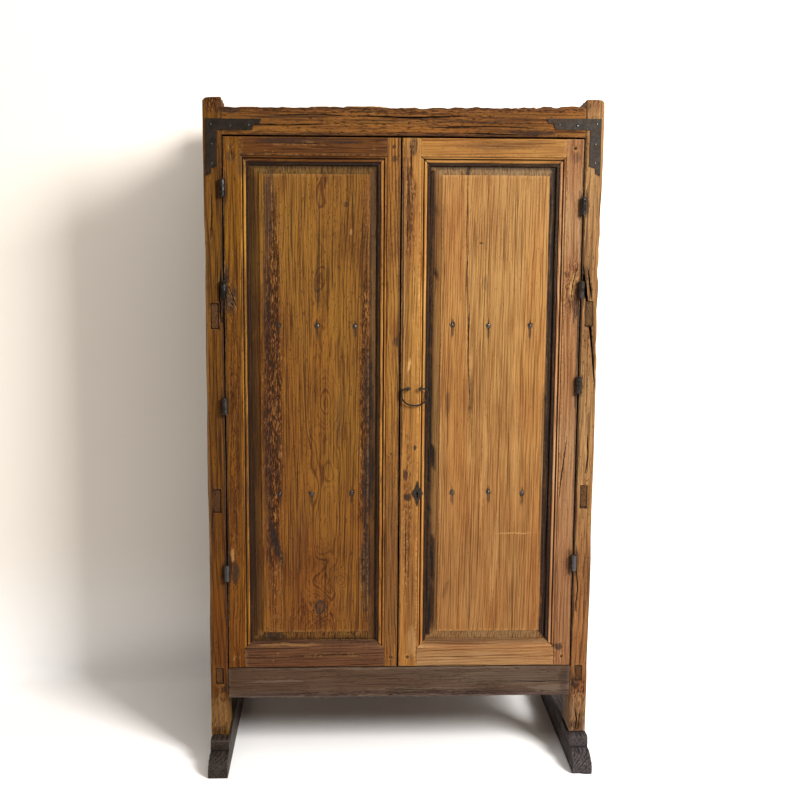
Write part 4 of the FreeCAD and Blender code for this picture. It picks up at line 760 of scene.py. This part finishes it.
def crack_wedge(path, width, depth, front, number):
    """A long thin wedge along a path of (X, Z) in millimetres, closed at both ends."""
    shares = [step / CRACK_STEPS for step in range(CRACK_STEPS)]
    route = [(x0 + (x1 - x0) * part, z0 + (z1 - z0) * part)
             for (x0, z0), (x1, z1) in zip(path, path[1:]) for part in shares] + [path[-1]]
    upright = abs(path[-1][1] - path[0][1]) > abs(path[-1][0] - path[0][0])
    points, faces = [], []
    for index, (x, z) in enumerate(route):
        along = index / (len(route) - 1)
        swell = max(0.06, math.sin(math.pi * along) ** 0.6)
        jitter = noise.noise(Vector((index * 0.7, number * 3.1, SEED)))
        half = width / 2000 * swell * (1 + 0.5 * jitter)
        middle = Vector((x / 1000, 0, z / 1000)) + Vector((0.0009 * jitter, 0, 0))
        aside = Vector((half, 0, 0)) if upright else Vector((0, 0, half))
        mouth, bottom = Vector((0, front - OVERCUT, 0)), Vector((0, front + depth / 1000 * swell, 0))
        points += [middle - aside + mouth, middle + aside + mouth, middle + bottom]
        if index:
            base = 3 * index
            faces += [(base - 3 + side, base - 3 + following, base + following, base + side)
                      for side, following in ((0, 1), (1, 2), (2, 0))]
    last = len(points)
    faces += [(2, 1, 0), (last - 3, last - 2, last - 1)]
    mesh = bpy.data.meshes.new("crack_wedge")
    mesh.from_pydata(points, [], faces)
    with reworked(mesh) as work:
        bmesh.ops.recalc_face_normals(work, faces=work.faces)
    return linked("crack_wedge", mesh)


def worn_points(points, normals, proud, board, wood, number, box):
    """Points moved back by wear: hollows in the faces, blunted edges and the board's own shape."""
    low, high = box
    reach = min(high[axis] - low[axis] for axis in range(3))
    limit = min(wood.edge_wear * board.wear, reach * 0.12)
    quick = np.abs(lumps(points * 70, number))
    nick = np.maximum(0.0, lumps(points * 28, number) - 0.25) * 2.0
    back = wood.face_wear * board.wear * np.maximum(0.0, 0.35 + lumps(points * 10, number)) + 0.00012 * quick
    back += proud * limit * (0.5 + quick + nick)
    moved = points - normals * back[:, None]
    if board.shape:
        moved = board.shape(moved, points, box)
    return np.clip(moved, low, high)


# How far across its bevel, from the field, a panel's dirt and painted shade begin: by its low X, high X, low
# Z and high Z.
BEVEL_DIRT_AND_SHADE = {"left_door_panel": (0.35, 0.20, 0.90, 0.70), "right_door_panel": (0.36, -0.25, 1.00, 0.70)}
# Between these depths behind its mouth, a crack's inside is painted dark, as dirt and painted shade.
CRACK_LIP, CRACK_REACH = 0.0006, 0.016  # from where to where, behind the face, a crack is dirty


def bevel_dirt_and_shade(points, depth, box, name):
    """Dirt and painted shade on a panel's bevels, from a ragged line outwards."""
    low, high = box
    x, z = points[:, 0], points[:, 2]
    edges = np.stack([x - low.x, high.x - x, z - low.z, high.z - z], 1)
    start = np.array(BEVEL_DIRT_AND_SHADE[name])[edges.argmin(1)]
    foot, rise, shallowest, deepest = 0.0072, 0.0042, 0.0064, 0.02
    ragged = 0.16 * lumps(points * (12, 0, 12), 7) + 0.10 * lumps(points * (50, 0, 50), 8)
    across = (depth - foot) / rise + ragged
    faint, strong = (0.55, 0.75) if name == "left_door_panel" else (0.40, 1.0)
    aside = edges.argmin(1) < 2
    dirt = np.maximum(strong * np.clip((across - start) / 0.16, 0, 1), faint * aside)
    return dirt * (depth > shallowest) * (depth < deepest)


def packed_dirt(points, proud, sunk, board, box, name):
    """Where dirt gathers and where shade is painted: quirks of a moulding, a panel's bevels, the gaps round
    tenons, cracks.
    """
    low, high = box
    depth = points[:, 1] - FRONT
    dirt = 0.8 * sunk
    if board.kind == "panel":
        dirt = bevel_dirt_and_shade(points, depth, box, name)
    elif board.kind == "tenon":
        dirt = np.clip(1 - depth / 0.006, 0, 1) * (0.30 + 0.70 * proud)
    elif board.kind == "frame":
        # Bottom rails, lit from above, get less painted shade.
        lit = 0.35 if board.grain == "x" and high.z < 0.6 else 0.95
        dirt = np.maximum(lit * sunk, lit * np.clip((depth - 0.0024) / 0.0008, 0, 1) * (depth < 0.012))
    inside = points[:, 1] - low.y
    in_crack = (inside > CRACK_LIP) & (inside < CRACK_REACH)
    for path, width, _ in board.cracks:
        for (x0, z0), (x1, z1) in zip(path, path[1:]):
            start, run = np.array((x0, z0)) / 1000, np.array((x1 - x0, z1 - z0)) / 1000
            away = points[:, (0, 2)] - start
            along = np.clip(away @ run / (run @ run), 0, 1)
            near = np.linalg.norm(away - along[:, None] * run, axis=1) < width / 2000 + CRACK_LIP
            dirt = np.where(near & in_crack, 1.0, dirt)
    return dirt


def painted_highlight(points, board, box):
    """A painted highlight on bead tops, strongest on upright beads, and painted light on a runner's inner
    side.
    """
    low, high = box
    depth = points[:, 1] - FRONT
    if board.kind == "frame":
        bead_top, spread = 0.0013, 0.0011
        return (0.95 if board.grain == "z" else 0.3) * np.exp(-((depth - bead_top) / spread) ** 2)
    if board.kind == "runner":
        inner = high.x if low.x < 0 else low.x
        side_reach, front_reach = 0.004, 0.05
        near = np.clip(1 - np.abs(points[:, 0] - inner) / side_reach, 0, 1)
        return near * np.clip(depth / front_reach, 0, 1)
    return np.zeros(len(points))


def grain_places(points, board, box, number):
    """Each point's place in its log: across, through and along, from the heart."""
    low, high = box
    across, through, along = GRAIN_AXES[board.grain]
    middle = (np.array(low) + np.array(high)) / 2
    return np.stack([points[:, across] - middle[across] - board.heart[0],
                     points[:, through] - middle[through] - board.heart[1],
                     board.taper * points[:, along] + number * 0.73], 1)


def within(points, depths):
    """Which points lie in a band of depths behind the doors' front."""
    middle, half = depths
    return np.abs(points[:, 1] - FRONT - middle) < half


def tones(points, board, box, name):
    """The board's tone at each point, with painted shade on a panel's bevels and one moulding brightened,
    partly as a painted highlight.
    """
    low, high = box
    tone = np.tile(board.tone, (len(points), 1))
    if board.kind == "panel":
        bevel = within(points, BEVEL_DEPTHS)
        aside = np.minimum(points[:, 0] - low.x, high.x - points[:, 0])
        tone[bevel & (high.z - points[:, 2] < aside)] *= UPPER_BEVEL_SHADE
        tone[bevel & (points[:, 2] - low.z < aside)] *= LOWER_BEVEL_SHADE
    if name == "left_door_hinge_stile":
        tone[within(points, MOULDING_DEPTHS) & (points[:, 0] > high.x - MOULDING_WIDTH)] *= MOULDING_TONE_AND_HIGHLIGHT
    return tone


def board_planes(board, wood, box):
    """Planes that cut a board into a grid, finer across the grain and near its edges."""
    low, high = box
    longest = GRAIN_AXES[board.grain][2]
    planes = []
    for axis in sorted(range(3), key=lambda axis: axis == longest):
        step = wood.board_step * board.step * (ALONG_STEP if axis == longest else ACROSS_STEP)
        margins = () if high[axis] - low[axis] < THIN else EDGE_MARGINS
        planes += [(axis, place) for place in cut_places(low[axis], high[axis], step, margins)]
    return planes


def worn_board(name, board, wood, number):
    """A worn copy of one wooden piece, which stands for it."""
    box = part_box(name)
    low = box[0]
    piece = linked(name + "_wood", NODES[name].data.copy())
    merged(piece.data)
    split_cracks(piece, board.cracks, low.y)
    divided(piece.data, board_planes(board, wood, box))
    points, faces = arrays_of(piece.data)
    normals, proud, sunk = point_forms(points, faces)
    moved = worn_points(points, normals, proud, board, wood, number, box)
    if name == "front_floor_board":
        moved[(points[:, 1] < low.y + FLOOR_EDGE) & (points[:, 2] < low.z + 0.001), 2] -= FLOOR_LIP
    mesh = smooth_mesh(piece.name, moved.tolist(), faces.tolist())
    # Dirt with painted shade in recesses and cracks, and a painted highlight.
    dirt, rubbed = packed_dirt(points, proud, sunk, board, box, name), painted_highlight(points, board, box)
    layers = {GRAIN: grain_places(points, board, box, number), WEAR_SHADE_HIGHLIGHT: np.stack([proud, dirt, rubbed], 1),
              TONE: tones(points, board, box, name)}
    for key, values in layers.items():
        mesh.attributes.new(key, "FLOAT_VECTOR", "POINT").data.foreach_set("vector", values.ravel())
    mesh.set_sharp_from_angle(angle=SHARP)
    piece.data = mesh
    give_material(piece, board.finish)
    dress(piece, NODES[name]["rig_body"], board.slot, name)
    return piece


def smooth_mesh(name, points, faces):
    """A smooth-shaded mesh from points and faces."""
    mesh = bpy.data.meshes.new(name)
    mesh.from_pydata(points, [], faces)
    mesh.update()
    mesh.shade_smooth()
    return mesh


def give_material(piece, key):
    """Give a piece one finish throughout."""
    piece.data.materials.clear()
    piece.data.materials.append(MATERIALS[key])


def dress(piece, body, slot, *replaced):
    """Set a finished piece on its body and hide the nodes it stands for; the slot is not used."""
    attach(piece, body)
    if replaced:
        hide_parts(*replaced)


# ------------------------------------------------------- shapes that wear left


def ragged_top(moved, points, box):
    """The top rail's upper edge, eroded along the grain and most of all in front."""
    low, high = box
    reach, deepest = 0.014, 0.0065
    band = np.clip((points[:, 2] - (high.z - reach)) / reach, 0, 1)
    across = points * (1, 0, 0)
    bite = 0.45 + 0.6 * lumps(across * 10, 1) + 0.5 * lumps(across * 45, 2) + 0.4 * lumps(across * 110, 3)
    front_share = 1 - (points[:, 1] - low.y) / (high.y - low.y)
    moved[:, 2] -= band * deepest * np.maximum(0.0, bite) * (0.4 + 0.6 * front_share)
    return moved


def waisted_post(moved, points, box):
    """A post whose outer edge wanders in by a few millimetres."""
    low, high = box
    outer = low.x if low.x < 0 else high.x
    inward = 1 if outer < 0 else -1
    edge, front_reach, top_reach = 0.016, 0.05, 0.02
    tear_depth, tear_height, tear_half = 0.0065, 1.27, 0.16
    near = np.clip(1 - np.abs(points[:, 0] - outer) / edge, 0, 1)
    up = points * (0, 0, 1)
    bite = 0.25 + lumps(up * 6, inward) + 0.4 * lumps(up * 30, 3 * inward)
    torn = tear_depth * np.exp(-((points[:, 2] - tear_height) / tear_half) ** 2) if outer > 0 else 0.0
    front_share = np.clip(1 - (points[:, 1] - low.y) / front_reach, 0, 1)
    moved[:, 0] += inward * near * (0.0016 + torn) * np.maximum(0.0, bite) * front_share
    top = np.clip((points[:, 2] - (high.z - top_reach)) / top_reach, 0, 1)
    sunk = (0.004 if outer < 0 else 0.0008) + 0.007 * near ** 3
    moved[:, 2] -= top * sunk * (1 + 0.4 * lumps(points * (60, 60, 0), 9))
    return moved


def sunk_tenon(moved, points, box):
    """A through tenon whose end has shrunk below the post's face."""
    shrunk, reach = 0.0040, 0.006
    moved[:, 1] += shrunk * np.clip(1 - (points[:, 1] - FRONT) / reach, 0, 1)
    return moved


def chipped_toe(moved, points, box):
    """A runner's toe with its corners knocked off."""
    reach, deepest = 0.03, 0.006
    near = np.clip(1 - (points[:, 1] - box[0].y) / reach, 0, 1)
    bite = np.maximum(0.0, lumps(points * 42, 5) - 0.05)
    low_share = np.clip(1 - points[:, 2] / reach, 0, 1)
    moved[:, 1] += deepest * near * bite * (0.4 + low_share)
    return moved


# Splits in the boards' fronts: a path of (X, Z), the width and the depth, in millimetres.
CRACKS = {
    "right_door_panel": [([(165, 1592), (162, 1439), (168, 1259), (173, 1075), (179, 929)], 1.7, 4.0),
                         ([(178, 1010), (184, 900), (186, 820)], 1.8, 2.1)],
    "right_door_meeting_stile": [([(19, 1666), (17, 1600), (19, 1540)], 2.7, 6.5),
                                 ([(9, 1560), (8, 1470), (11, 1390)], 2.1, 3.9),
                                 ([(10, 700), (12, 560), (10, 470)], 1.8, 3.1),
                                 ([(30, 1340), (27, 1200)], 1.5, 2.6)],
    "right_door_hinge_stile": [([(437, 900), (425, 800), (418, 720)], 3.0, 5.2),
                               ([(452, 1350), (440, 1300), (436, 1262)], 2.4, 5.2)],
    "right_front_post": [([(466, 1352), (473, 1300), (484, 1225), (494, 1150), (506, 1030)], 7.0, 14.0),
                         ([(467, 1330), (471, 1290), (475, 1262)], 10.0, 12.0),
                         ([(478, 1345), (487, 1290), (490, 1262)], 5.4, 8.0),
                         ([(490, 905), (494, 850), (489, 800)], 3.0, 5.2),
                         ([(470, 560), (476, 480), (472, 420)], 3.3, 6.5),
                         ([(478, 150), (484, 110), (481, 82)], 3.0, 6.5),
                         ([(492, 130), (489, 84)], 2.4, 5.2)],
    "left_front_post": [([(-492, 1560), (-490, 1480), (-493, 1410)], 1.8, 3.2),
                        ([(-470, 1330), (-473, 1262), (-469, 1200)], 3.6, 6.5),
                        ([(-499, 720), (-501, 640)], 1.8, 2.6)],
    "left_door_hinge_stile": [([(-455, 1305), (-440, 1270), (-430, 1238)], 2.7, 5.2),
                              ([(-452, 1262), (-437, 1240)], 1.8, 3.9),
                              ([(-441, 1662), (-437, 1610)], 2.4, 3.9)],
    "left_door_panel": [([(-337, 1560), (-333, 1440), (-336, 1330)], 2.4, 2.3),
                        ([(-329, 1180), (-326, 1040), (-330, 930)], 2.1, 2.0),
                        ([(-322, 900), (-318, 780)], 1.8, 1.8), ([(-320, 600), (-317, 450)], 2.1, 2.1),
                        ([(-100, 640), (-104, 520), (-101, 420)], 1.8, 1.8)],
    "front_top_rail": [([(-430, 1703), (-300, 1700), (-190, 1704)], 2.7, 5.2),
                       ([(-120, 1725), (20, 1721), (160, 1726)], 3.3, 6.5),
                       ([(60, 1697), (220, 1701), (330, 1698)], 2.7, 5.2),
                       ([(150, 1683), (300, 1681)], 3.3, 6.5),
                       ([(-330, 1724), (-230, 1728), (-150, 1724)], 2.4, 5.2)],
    "left_door_bottom_rail": [([(-250, 300), (-170, 303), (-110, 299)], 1.8, 2.6)],
    "left_door_top_rail": [([(-330, 1652), (-240, 1655), (-190, 1652)], 1.8, 2.6)],
    "front_bottom_rail": [([(300, 222), (380, 220), (440, 222)], 1.5, 2.1)],
}
# Each board's tone, as factors on its finish's colour.
TONES = {
    "left_door_panel": (1.08, 1.04, 0.76),
    "left_door_hinge_stile": (0.80, 0.70, 0.18), "left_door_meeting_stile": (1.22, 1.22, 1.25),
    "left_door_top_rail": (0.52, 0.40, 0.26), "left_door_bottom_rail": (0.58, 0.60, 1.4),
    "right_door_panel": (1.20, 1.26, 1.45), "right_door_top_rail": (1.05, 1.02, 0.9),
    "right_door_hinge_stile": (0.86, 0.92, 1.5), "right_door_meeting_stile": (1.04, 1.00, 0.80),
    "right_door_bottom_rail": (1.17, 1.42, 2.25), "left_front_post": (0.97, 0.86, 0.26),
    "front_top_rail": (1.46, 1.38, 0.95), "front_bottom_rail": (1.20, 1.32, 1.55),
    "right_front_post": (1.95, 2.35, 3.9),
    "right_runner": (1.25, 1.26, 1.05), "left_runner": (0.66, 0.56, 0.36),
}


def boards():
    """Every wooden piece's board."""
    plan = {}
    for side in SIDES:
        turn = -1 if side == "left" else 1
        door, slot = f"{side}_door", f"{side}_door_pine"
        plan[f"{side}_front_post"] = Board("posts", "post_pine", "z", (turn * 0.11, 0.16), 0.8, 2.2,
                                           waisted_post)
        plan[f"{side}_back_post"] = Board("sides", "carcass_pine", "z", (turn * 0.16, 0.12), 1.4, 1.6)
        plan[f"{side}_runner"] = Board("runners", "dark_runner_wood", "y", (0.09, -0.12), 0.8, 2.2,
                                       chipped_toe, "runner")
        for name in ("base", "lower", "upper", "head"):
            plan[f"{side}_{name}_side_rail"] = Board("sides", "carcass_pine", "y", (0.12, 0.05), 1.2, 1.2,
                                                     sunk_tenon, "tenon")
        for name in ("bottom", "middle", "top"):
            plan[f"{side}_{name}_side_panel"] = Board("sides", "carcass_pine", "z", (0.14, 0.05), 2.0, 0.8)
        plan[f"{door}_hinge_stile"] = Board(door, slot, "z", (turn * -0.16, 0.09), 0.8, 0.7, kind="frame")
        plan[f"{door}_meeting_stile"] = Board(door, slot, "z", (turn * 0.14, 0.11), 0.8, 0.9, kind="frame")
        plan[f"{door}_top_rail"] = Board(door, slot, "x", (0.12, 0.08), 0.8, 0.7, kind="frame")
        plan[f"{door}_bottom_rail"] = Board(door, slot, "x", (0.10, 0.08), 0.8, 1.0, kind="frame")
        for name in ("lower", "upper"):
            plan[f"{door}_{name}_batten"] = Board("inside", "inner_pine", "x", (0.1, 0.1), 2.0, 0.8)
    plan["left_door_panel"] = Board("left_door", "left_door_pine", "z", (0.025, 0.020), 0.9, 0.9,
                                    kind="panel", taper=-1.0)
    plan["right_door_panel"] = Board("right_door", "right_door_pine", "z", (0.21, 0.06), 0.9, 0.7,
                                     kind="panel")
    plan["front_top_rail"] = Board("posts", "post_pine", "x", (-0.06, 0.09), 0.28, 1.8, ragged_top)
    plan["front_bottom_rail"] = Board("grey", "grey_rail_wood", "x", (0.16, 0.05), 0.9, 1.3)
    for name in ("back_bottom_rail", "back_top_rail"):
        plan[name] = Board("sides", "carcass_pine", "x", (0.1, 0.08), 1.6, 1.2)
    for index, name in enumerate(("left", "middle", "right")):
        plan[f"{name}_back_board"] = Board("sides", "back_pine", "z", (0.02 - 0.05 * index, 0.05), 1.8, 1.6)
    for name in ("front_floor_board", "back_floor_board", "lower_shelf", "upper_shelf", "top_board"):
        plan[name] = Board("inside", "inner_pine", "x", (0.03, 0.04), 2.2, 1.0)
    for name in ("carcass_pegs", "left_door_pegs", "right_door_pegs"):
        plan[name] = Board("pegs", "peg_wood", "y", (0.004, 0.003), 8.0, 0.4)
    for name, cracks in CRACKS.items():
        plan[name].cracks = cracks
    for name, tone in TONES.items():
        plan[name].tone = tone
    return plan


class CupboardOperator(bpy.types.Operator):
    """Shared ways of the cupboard's operators."""

    bl_options = {"REGISTER"}

    def finished(self, pieces):
        """Raise if nothing was made."""
        if not pieces:
            raise RuntimeError(f"{self.bl_label} made nothing")
        return {"FINISHED"}


def wear_boards(context, wanted):
    """Make the worn copy of each wanted board."""
    wood = context.scene.cupboard_wood
    return [worn_board(name, board, wood, number)
            for number, (name, board) in enumerate(sorted(boards().items())) if wanted(name)]


class CUPBOARD_OT_carcass(CupboardOperator):
    """Worn posts, rails, side frames, runners and boards"""

    bl_idname = "cupboard.carcass"
    bl_label = "Carcass"

    def execute(self, context):
        return self.finished(wear_boards(context, lambda name: "_door_" not in name and "pegs" not in name))


class CUPBOARD_OT_doors(CupboardOperator):
    """Worn door frames, panels and battens"""

    bl_idname = "cupboard.doors"
    bl_label = "Doors"

    def execute(self, context):
        return self.finished(wear_boards(context, lambda name: "_door_" in name and "pegs" not in name))


class CUPBOARD_OT_pegs(CupboardOperator):
    """Dark end grain on the oak pegs"""

    bl_idname = "cupboard.pegs"
    bl_label = "Pegs"

    def execute(self, context):
        return self.finished(wear_boards(context, lambda name: name.endswith("_pegs")))


class CUPBOARD_OT_ironwork(CupboardOperator):
    """Forged hinges, corner irons, lock, plate and drop handle"""

    bl_idname = "cupboard.ironwork"
    bl_label = "Ironwork"

    def execute(self, context):
        finishes = {"escutcheon": "plate", "bail_eyes": "iron", "bail_handle": "handle",
                    "lock_case": "plate", "lock_bolt": "iron"}
        for side in SIDES:
            finishes[f"{side}_corner_iron"] = "plate"
            finishes[f"{side}_post_pintles"] = "iron"
            finishes[f"{side}_door_knuckles"] = "iron"
        for name, key in finishes.items():
            give_material(NODES[name], key)
        return self.finished(finishes)


class NailTree:
    """A Geometry Nodes tree that sets a hammered nail head on every point of a mesh."""

    def __init__(self, material):
        self.tree = bpy.data.node_groups.new("nail_heads", "GeometryNodeTree")
        face = self.tree.interface
        face.new_socket("Geometry", in_out="INPUT", socket_type="NodeSocketGeometry")
        for name, kind, value in (("Radius", "Float", 0.004), ("Height", "Float", 0.0016),
                                  ("Seed", "Int", SEED)):
            face.new_socket(name, in_out="INPUT", socket_type="NodeSocket" + kind).default_value = value
        face.new_socket("Geometry", in_out="OUTPUT", socket_type="NodeSocketGeometry")
        self.build(material)

    def chance(self, low, high):
        """A node that draws a vector between two others at random."""
        node = self.tree.nodes.new("FunctionNodeRandomValue")
        node.data_type = "FLOAT_VECTOR"
        node.inputs[0].default_value, node.inputs[1].default_value = low, high
        return node

    def build(self, material):
        """Head, turn and size at random, instances, real mesh, finish."""
        add = self.tree.nodes.new
        given, result, size = add("NodeGroupInput"), add("NodeGroupOutput"), add("ShaderNodeCombineXYZ")
        head, scale = add("GeometryNodeMeshUVSphere"), add("ShaderNodeVectorMath")
        points, place = add("GeometryNodeMeshToPoints"), add("GeometryNodeInstanceOnPoints")
        real, dye = add("GeometryNodeRealizeInstances"), add("GeometryNodeSetMaterial")
        turn = self.chance((-0.16, -3.0, -0.16), (0.16, 3.0, 0.16))
        grow = self.chance((0.85, 0.8, 0.75), (1.15, 1.2, 1.2))
        head.inputs["Segments"].default_value, head.inputs["Rings"].default_value = 9, 5
        scale.operation = "MULTIPLY"
        dye.inputs["Material"].default_value = material
        for source, output, target, entry in (
                (given, "Radius", size, 0), (given, "Height", size, 1), (given, "Radius", size, 2),
                (given, "Seed", turn, "Seed"), (given, "Seed", grow, "Seed"),
                (size, 0, scale, 0), (grow, 0, scale, 1),
                (given, "Geometry", points, "Mesh"), (points, 0, place, "Points"),
                (head, "Mesh", place, "Instance"), (turn, 0, place, "Rotation"), (scale, 0, place, "Scale"),
                (place, 0, real, 0), (real, 0, dye, "Geometry"), (dye, 0, result, 0)):
            self.tree.links.new(source.outputs[output], target.inputs[entry])

    def heads(self, name, places, radius, height, seed):
        """Nail heads at places, as one plain mesh."""
        dots = bpy.data.meshes.new(name)
        dots.from_pydata(places, [], [])
        piece = linked(name, dots)
        nodes = piece.modifiers.new("nails", "NODES")
        nodes.node_group = self.tree
        wanted = {"Radius": radius, "Height": height, "Seed": seed}
        for item in self.tree.interface.items_tree:
            if item.in_out == "INPUT" and item.name in wanted:
                nodes[item.identifier] = wanted[item.name]
        settle(piece, nodes)
        piece.data.shade_smooth()
        return piece


# A corner iron's nails: how far in from its outer side, and how far below its top.
CORNER_NAILS = ((0.012, 0.014), (0.062, 0.018), (0.108, 0.016), (0.014, 0.064), (0.014, 0.112))
PANEL_FIELD = 0.0055  # how far the panels' field lies behind the doors' front
IRON_FACE = 0.0002  # how far the corner irons' nails start behind the iron's face


class CUPBOARD_OT_nails(CupboardOperator):
    """Nail heads in the door panels and corner irons"""

    bl_idname = "cupboard.nails"
    bl_label = "Nails"

    def execute(self, context):
        iron = context.scene.cupboard_iron
        tree = NailTree(MATERIALS["iron"])
        pieces, corners = [], []
        for number, side in enumerate(SIDES):
            places = [(x / 1000, FRONT + PANEL_FIELD, z / 1000) for x, z in NAILS[side]]
            piece = tree.heads(f"{side}_panel_nails", places, iron.nail_radius, iron.nail_height,
                               SEED + number)
            dress(piece, f"{side}_door", "iron")
            pieces.append(piece)
            low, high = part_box(f"{side}_corner_iron")
            outer, inward = (low.x, 1) if side == "left" else (high.x, -1)
            corners += [(outer + inward * reach, low.y + IRON_FACE, high.z - drop)
                        for reach, drop in CORNER_NAILS]
        piece = tree.heads("corner_iron_nails", corners, iron.iron_nail_radius, iron.nail_height, SEED + 2)
        dress(piece, "root", "iron")
        return self.finished(pieces + [piece])


# ----------------------------------------------------------------- the stage


# The wall is painted darker and warmer than the floor, which stands in for warm shade on the wall.
SHADED_WALL_PAINT, FLOOR_PAINT, CLOUD = (0.77, 0.715, 0.645), (0.90, 0.89, 0.885), (0.80, 0.78, 0.76)


def studio(name):
    """Matt paint, darker and warmer up the wall than on the floor, as painted shade on the wall."""
    graph = Graph(name)
    spot = graph.spot()
    rise = graph.parts(spot)[2]
    shown = graph.mix(graph.step(rise, 0.0, 0.5), FLOOR_PAINT, SHADED_WALL_PAINT)
    cloud = graph.noise(spot, 2.2, 3.0)
    shown = graph.mix(graph.step(cloud, 0.3, 0.7, 0.0, 0.05), shown, CLOUD)
    grain = graph.noise(spot, 160.0)
    return graph.finish(shown, 0.75, grain, 0.0002)


def cove(wall_y):
    """Floor and wall as one sheet with a rounded corner."""
    radius, reach, front, high, turns = 0.05, 5.0, -6.0, 4.2, 8
    profile = [(front, 0.0), (wall_y - radius, 0.0)]
    profile += [(wall_y - radius + radius * math.sin(turn), radius - radius * math.cos(turn))
                for turn in (math.pi / 2 * step / turns for step in range(1, turns + 1))]
    profile.append((wall_y, high))
    points = [(x, y, z) for y, z in profile for x in (-reach, reach)]
    faces = [(2 * row, 2 * row + 1, 2 * row + 3, 2 * row + 2) for row in range(len(profile) - 1)]
    return smooth_mesh("studio_cove", points, faces)


# Each light's place, what it looks at, its width and height, and its colour.
LIGHTS = {
    "key": ((2.6, -3.05, 2.98), (0.0, 0.0, 0.95), (1.35, 1.6), (1.0, 0.99, 0.97)),
    "fill": ((-0.6, -4.2, 2.4), (0.0, 0.0, 0.9), (3.0, 2.2), (1.0, 0.97, 0.93)),
    "top": ((0.0, -1.9, 3.6), (0.0, -1.2, 0.0), (4.0, 2.4), (1.0, 0.99, 0.97)),
}


def area_light(name, place, aim, size, tint, watts):
    """A soft rectangular light that looks at a point."""
    data = bpy.data.lights.new(name, "AREA")
    data.shape, data.size, data.size_y = "RECTANGLE", *size
    data.energy, data.color = watts, tint
    light = linked(name, data)
    light.location = place
    light.rotation_euler = (Vector(aim) - Vector(place)).to_track_quat("-Z", "Y").to_euler()


class CUPBOARD_OT_stage(CupboardOperator):
    """Pale floor and wall, soft light from the right, and the camera"""

    bl_idname = "cupboard.stage"
    bl_label = "Stage"

    def execute(self, context):
        stage = context.scene.cupboard_stage
        backdrop = linked("studio_cove", cove(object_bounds()[1][1] + stage.wall_gap))
        backdrop.data.materials.append(studio("studio_paint"))
        backdrop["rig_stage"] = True
        for name, settings in LIGHTS.items():
            area_light(f"{name}_light", *settings, getattr(stage, f"{name}_power"))
        world = bpy.data.worlds.new("studio_sky")
        world.use_nodes = True
        tint, strength = world.node_tree.nodes["Background"].inputs[:2]
        tint.default_value, strength.default_value = (*stage.sky_tint, 1.0), stage.sky
        context.scene.world = world
        context.scene.view_settings.view_transform = "Standard"
        self.place_camera(context, stage)
        return self.finished([backdrop])

    def place_camera(self, context, stage):
        """Stand the camera at its place, turned, dipped and rolled."""
        data = bpy.data.cameras.new("studio_camera")
        data.lens, data.sensor_width = stage.lens, 36.0
        data.shift_x, data.shift_y = stage.shift_x, stage.shift_y
        data.clip_start, data.clip_end = 0.05, 50.0
        camera = linked("studio_camera", data)
        turn = Matrix.Rotation(stage.camera_turn, 4, "Z")
        dip = Matrix.Rotation(math.pi / 2 - stage.camera_dip, 4, "X")
        roll = Matrix.Rotation(stage.camera_roll, 4, "Z")
        camera.matrix_world = Matrix.Translation(Vector(stage.camera_place)) @ turn @ dip @ roll
        context.scene.camera = camera


class CUPBOARD_PT_panel(bpy.types.Panel):
    """Buttons and settings of the cupboard"""

    bl_idname = "CUPBOARD_PT_panel"
    bl_label = "Cupboard"
    bl_space_type = "VIEW_3D"
    bl_region_type = "UI"
    bl_category = "Cupboard"

    def draw(self, context):
        for operator in OPERATORS:
            self.layout.operator(operator.bl_idname)
        for group in SETTINGS:
            settings, box = getattr(context.scene, group), self.layout.box()
            for key in settings.bl_rna.properties.keys():
                if key not in ("rna_type", "name"):
                    box.prop(settings, key)


SETTINGS = {"cupboard_wood": CupboardWood, "cupboard_iron": CupboardIron, "cupboard_stage": CupboardStage}
OPERATORS = (CUPBOARD_OT_carcass, CUPBOARD_OT_doors, CUPBOARD_OT_pegs, CUPBOARD_OT_ironwork,
             CUPBOARD_OT_nails, CUPBOARD_OT_stage)
CLASSES = tuple(SETTINGS.values()) + OPERATORS + (CUPBOARD_PT_panel,)


def register():
    """Add the classes and the scene's settings."""
    for item in CLASSES:
        bpy.utils.register_class(item)
    for key, group in SETTINGS.items():
        setattr(bpy.types.Scene, key, PointerProperty(type=group))


def unregister():
    """Remove what register added."""
    for key in SETTINGS:
        delattr(bpy.types.Scene, key)
    for item in reversed(CLASSES):
        bpy.utils.unregister_class(item)


def main():
    """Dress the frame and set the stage."""
    register()
    make_materials(bpy.context.scene)
    bpy.ops.cupboard.carcass()
    bpy.ops.cupboard.doors()
    bpy.ops.cupboard.pegs()
    bpy.ops.cupboard.ironwork()
    bpy.ops.cupboard.nails()
    bpy.ops.cupboard.stage()


if __name__ == "__main__":
    main()
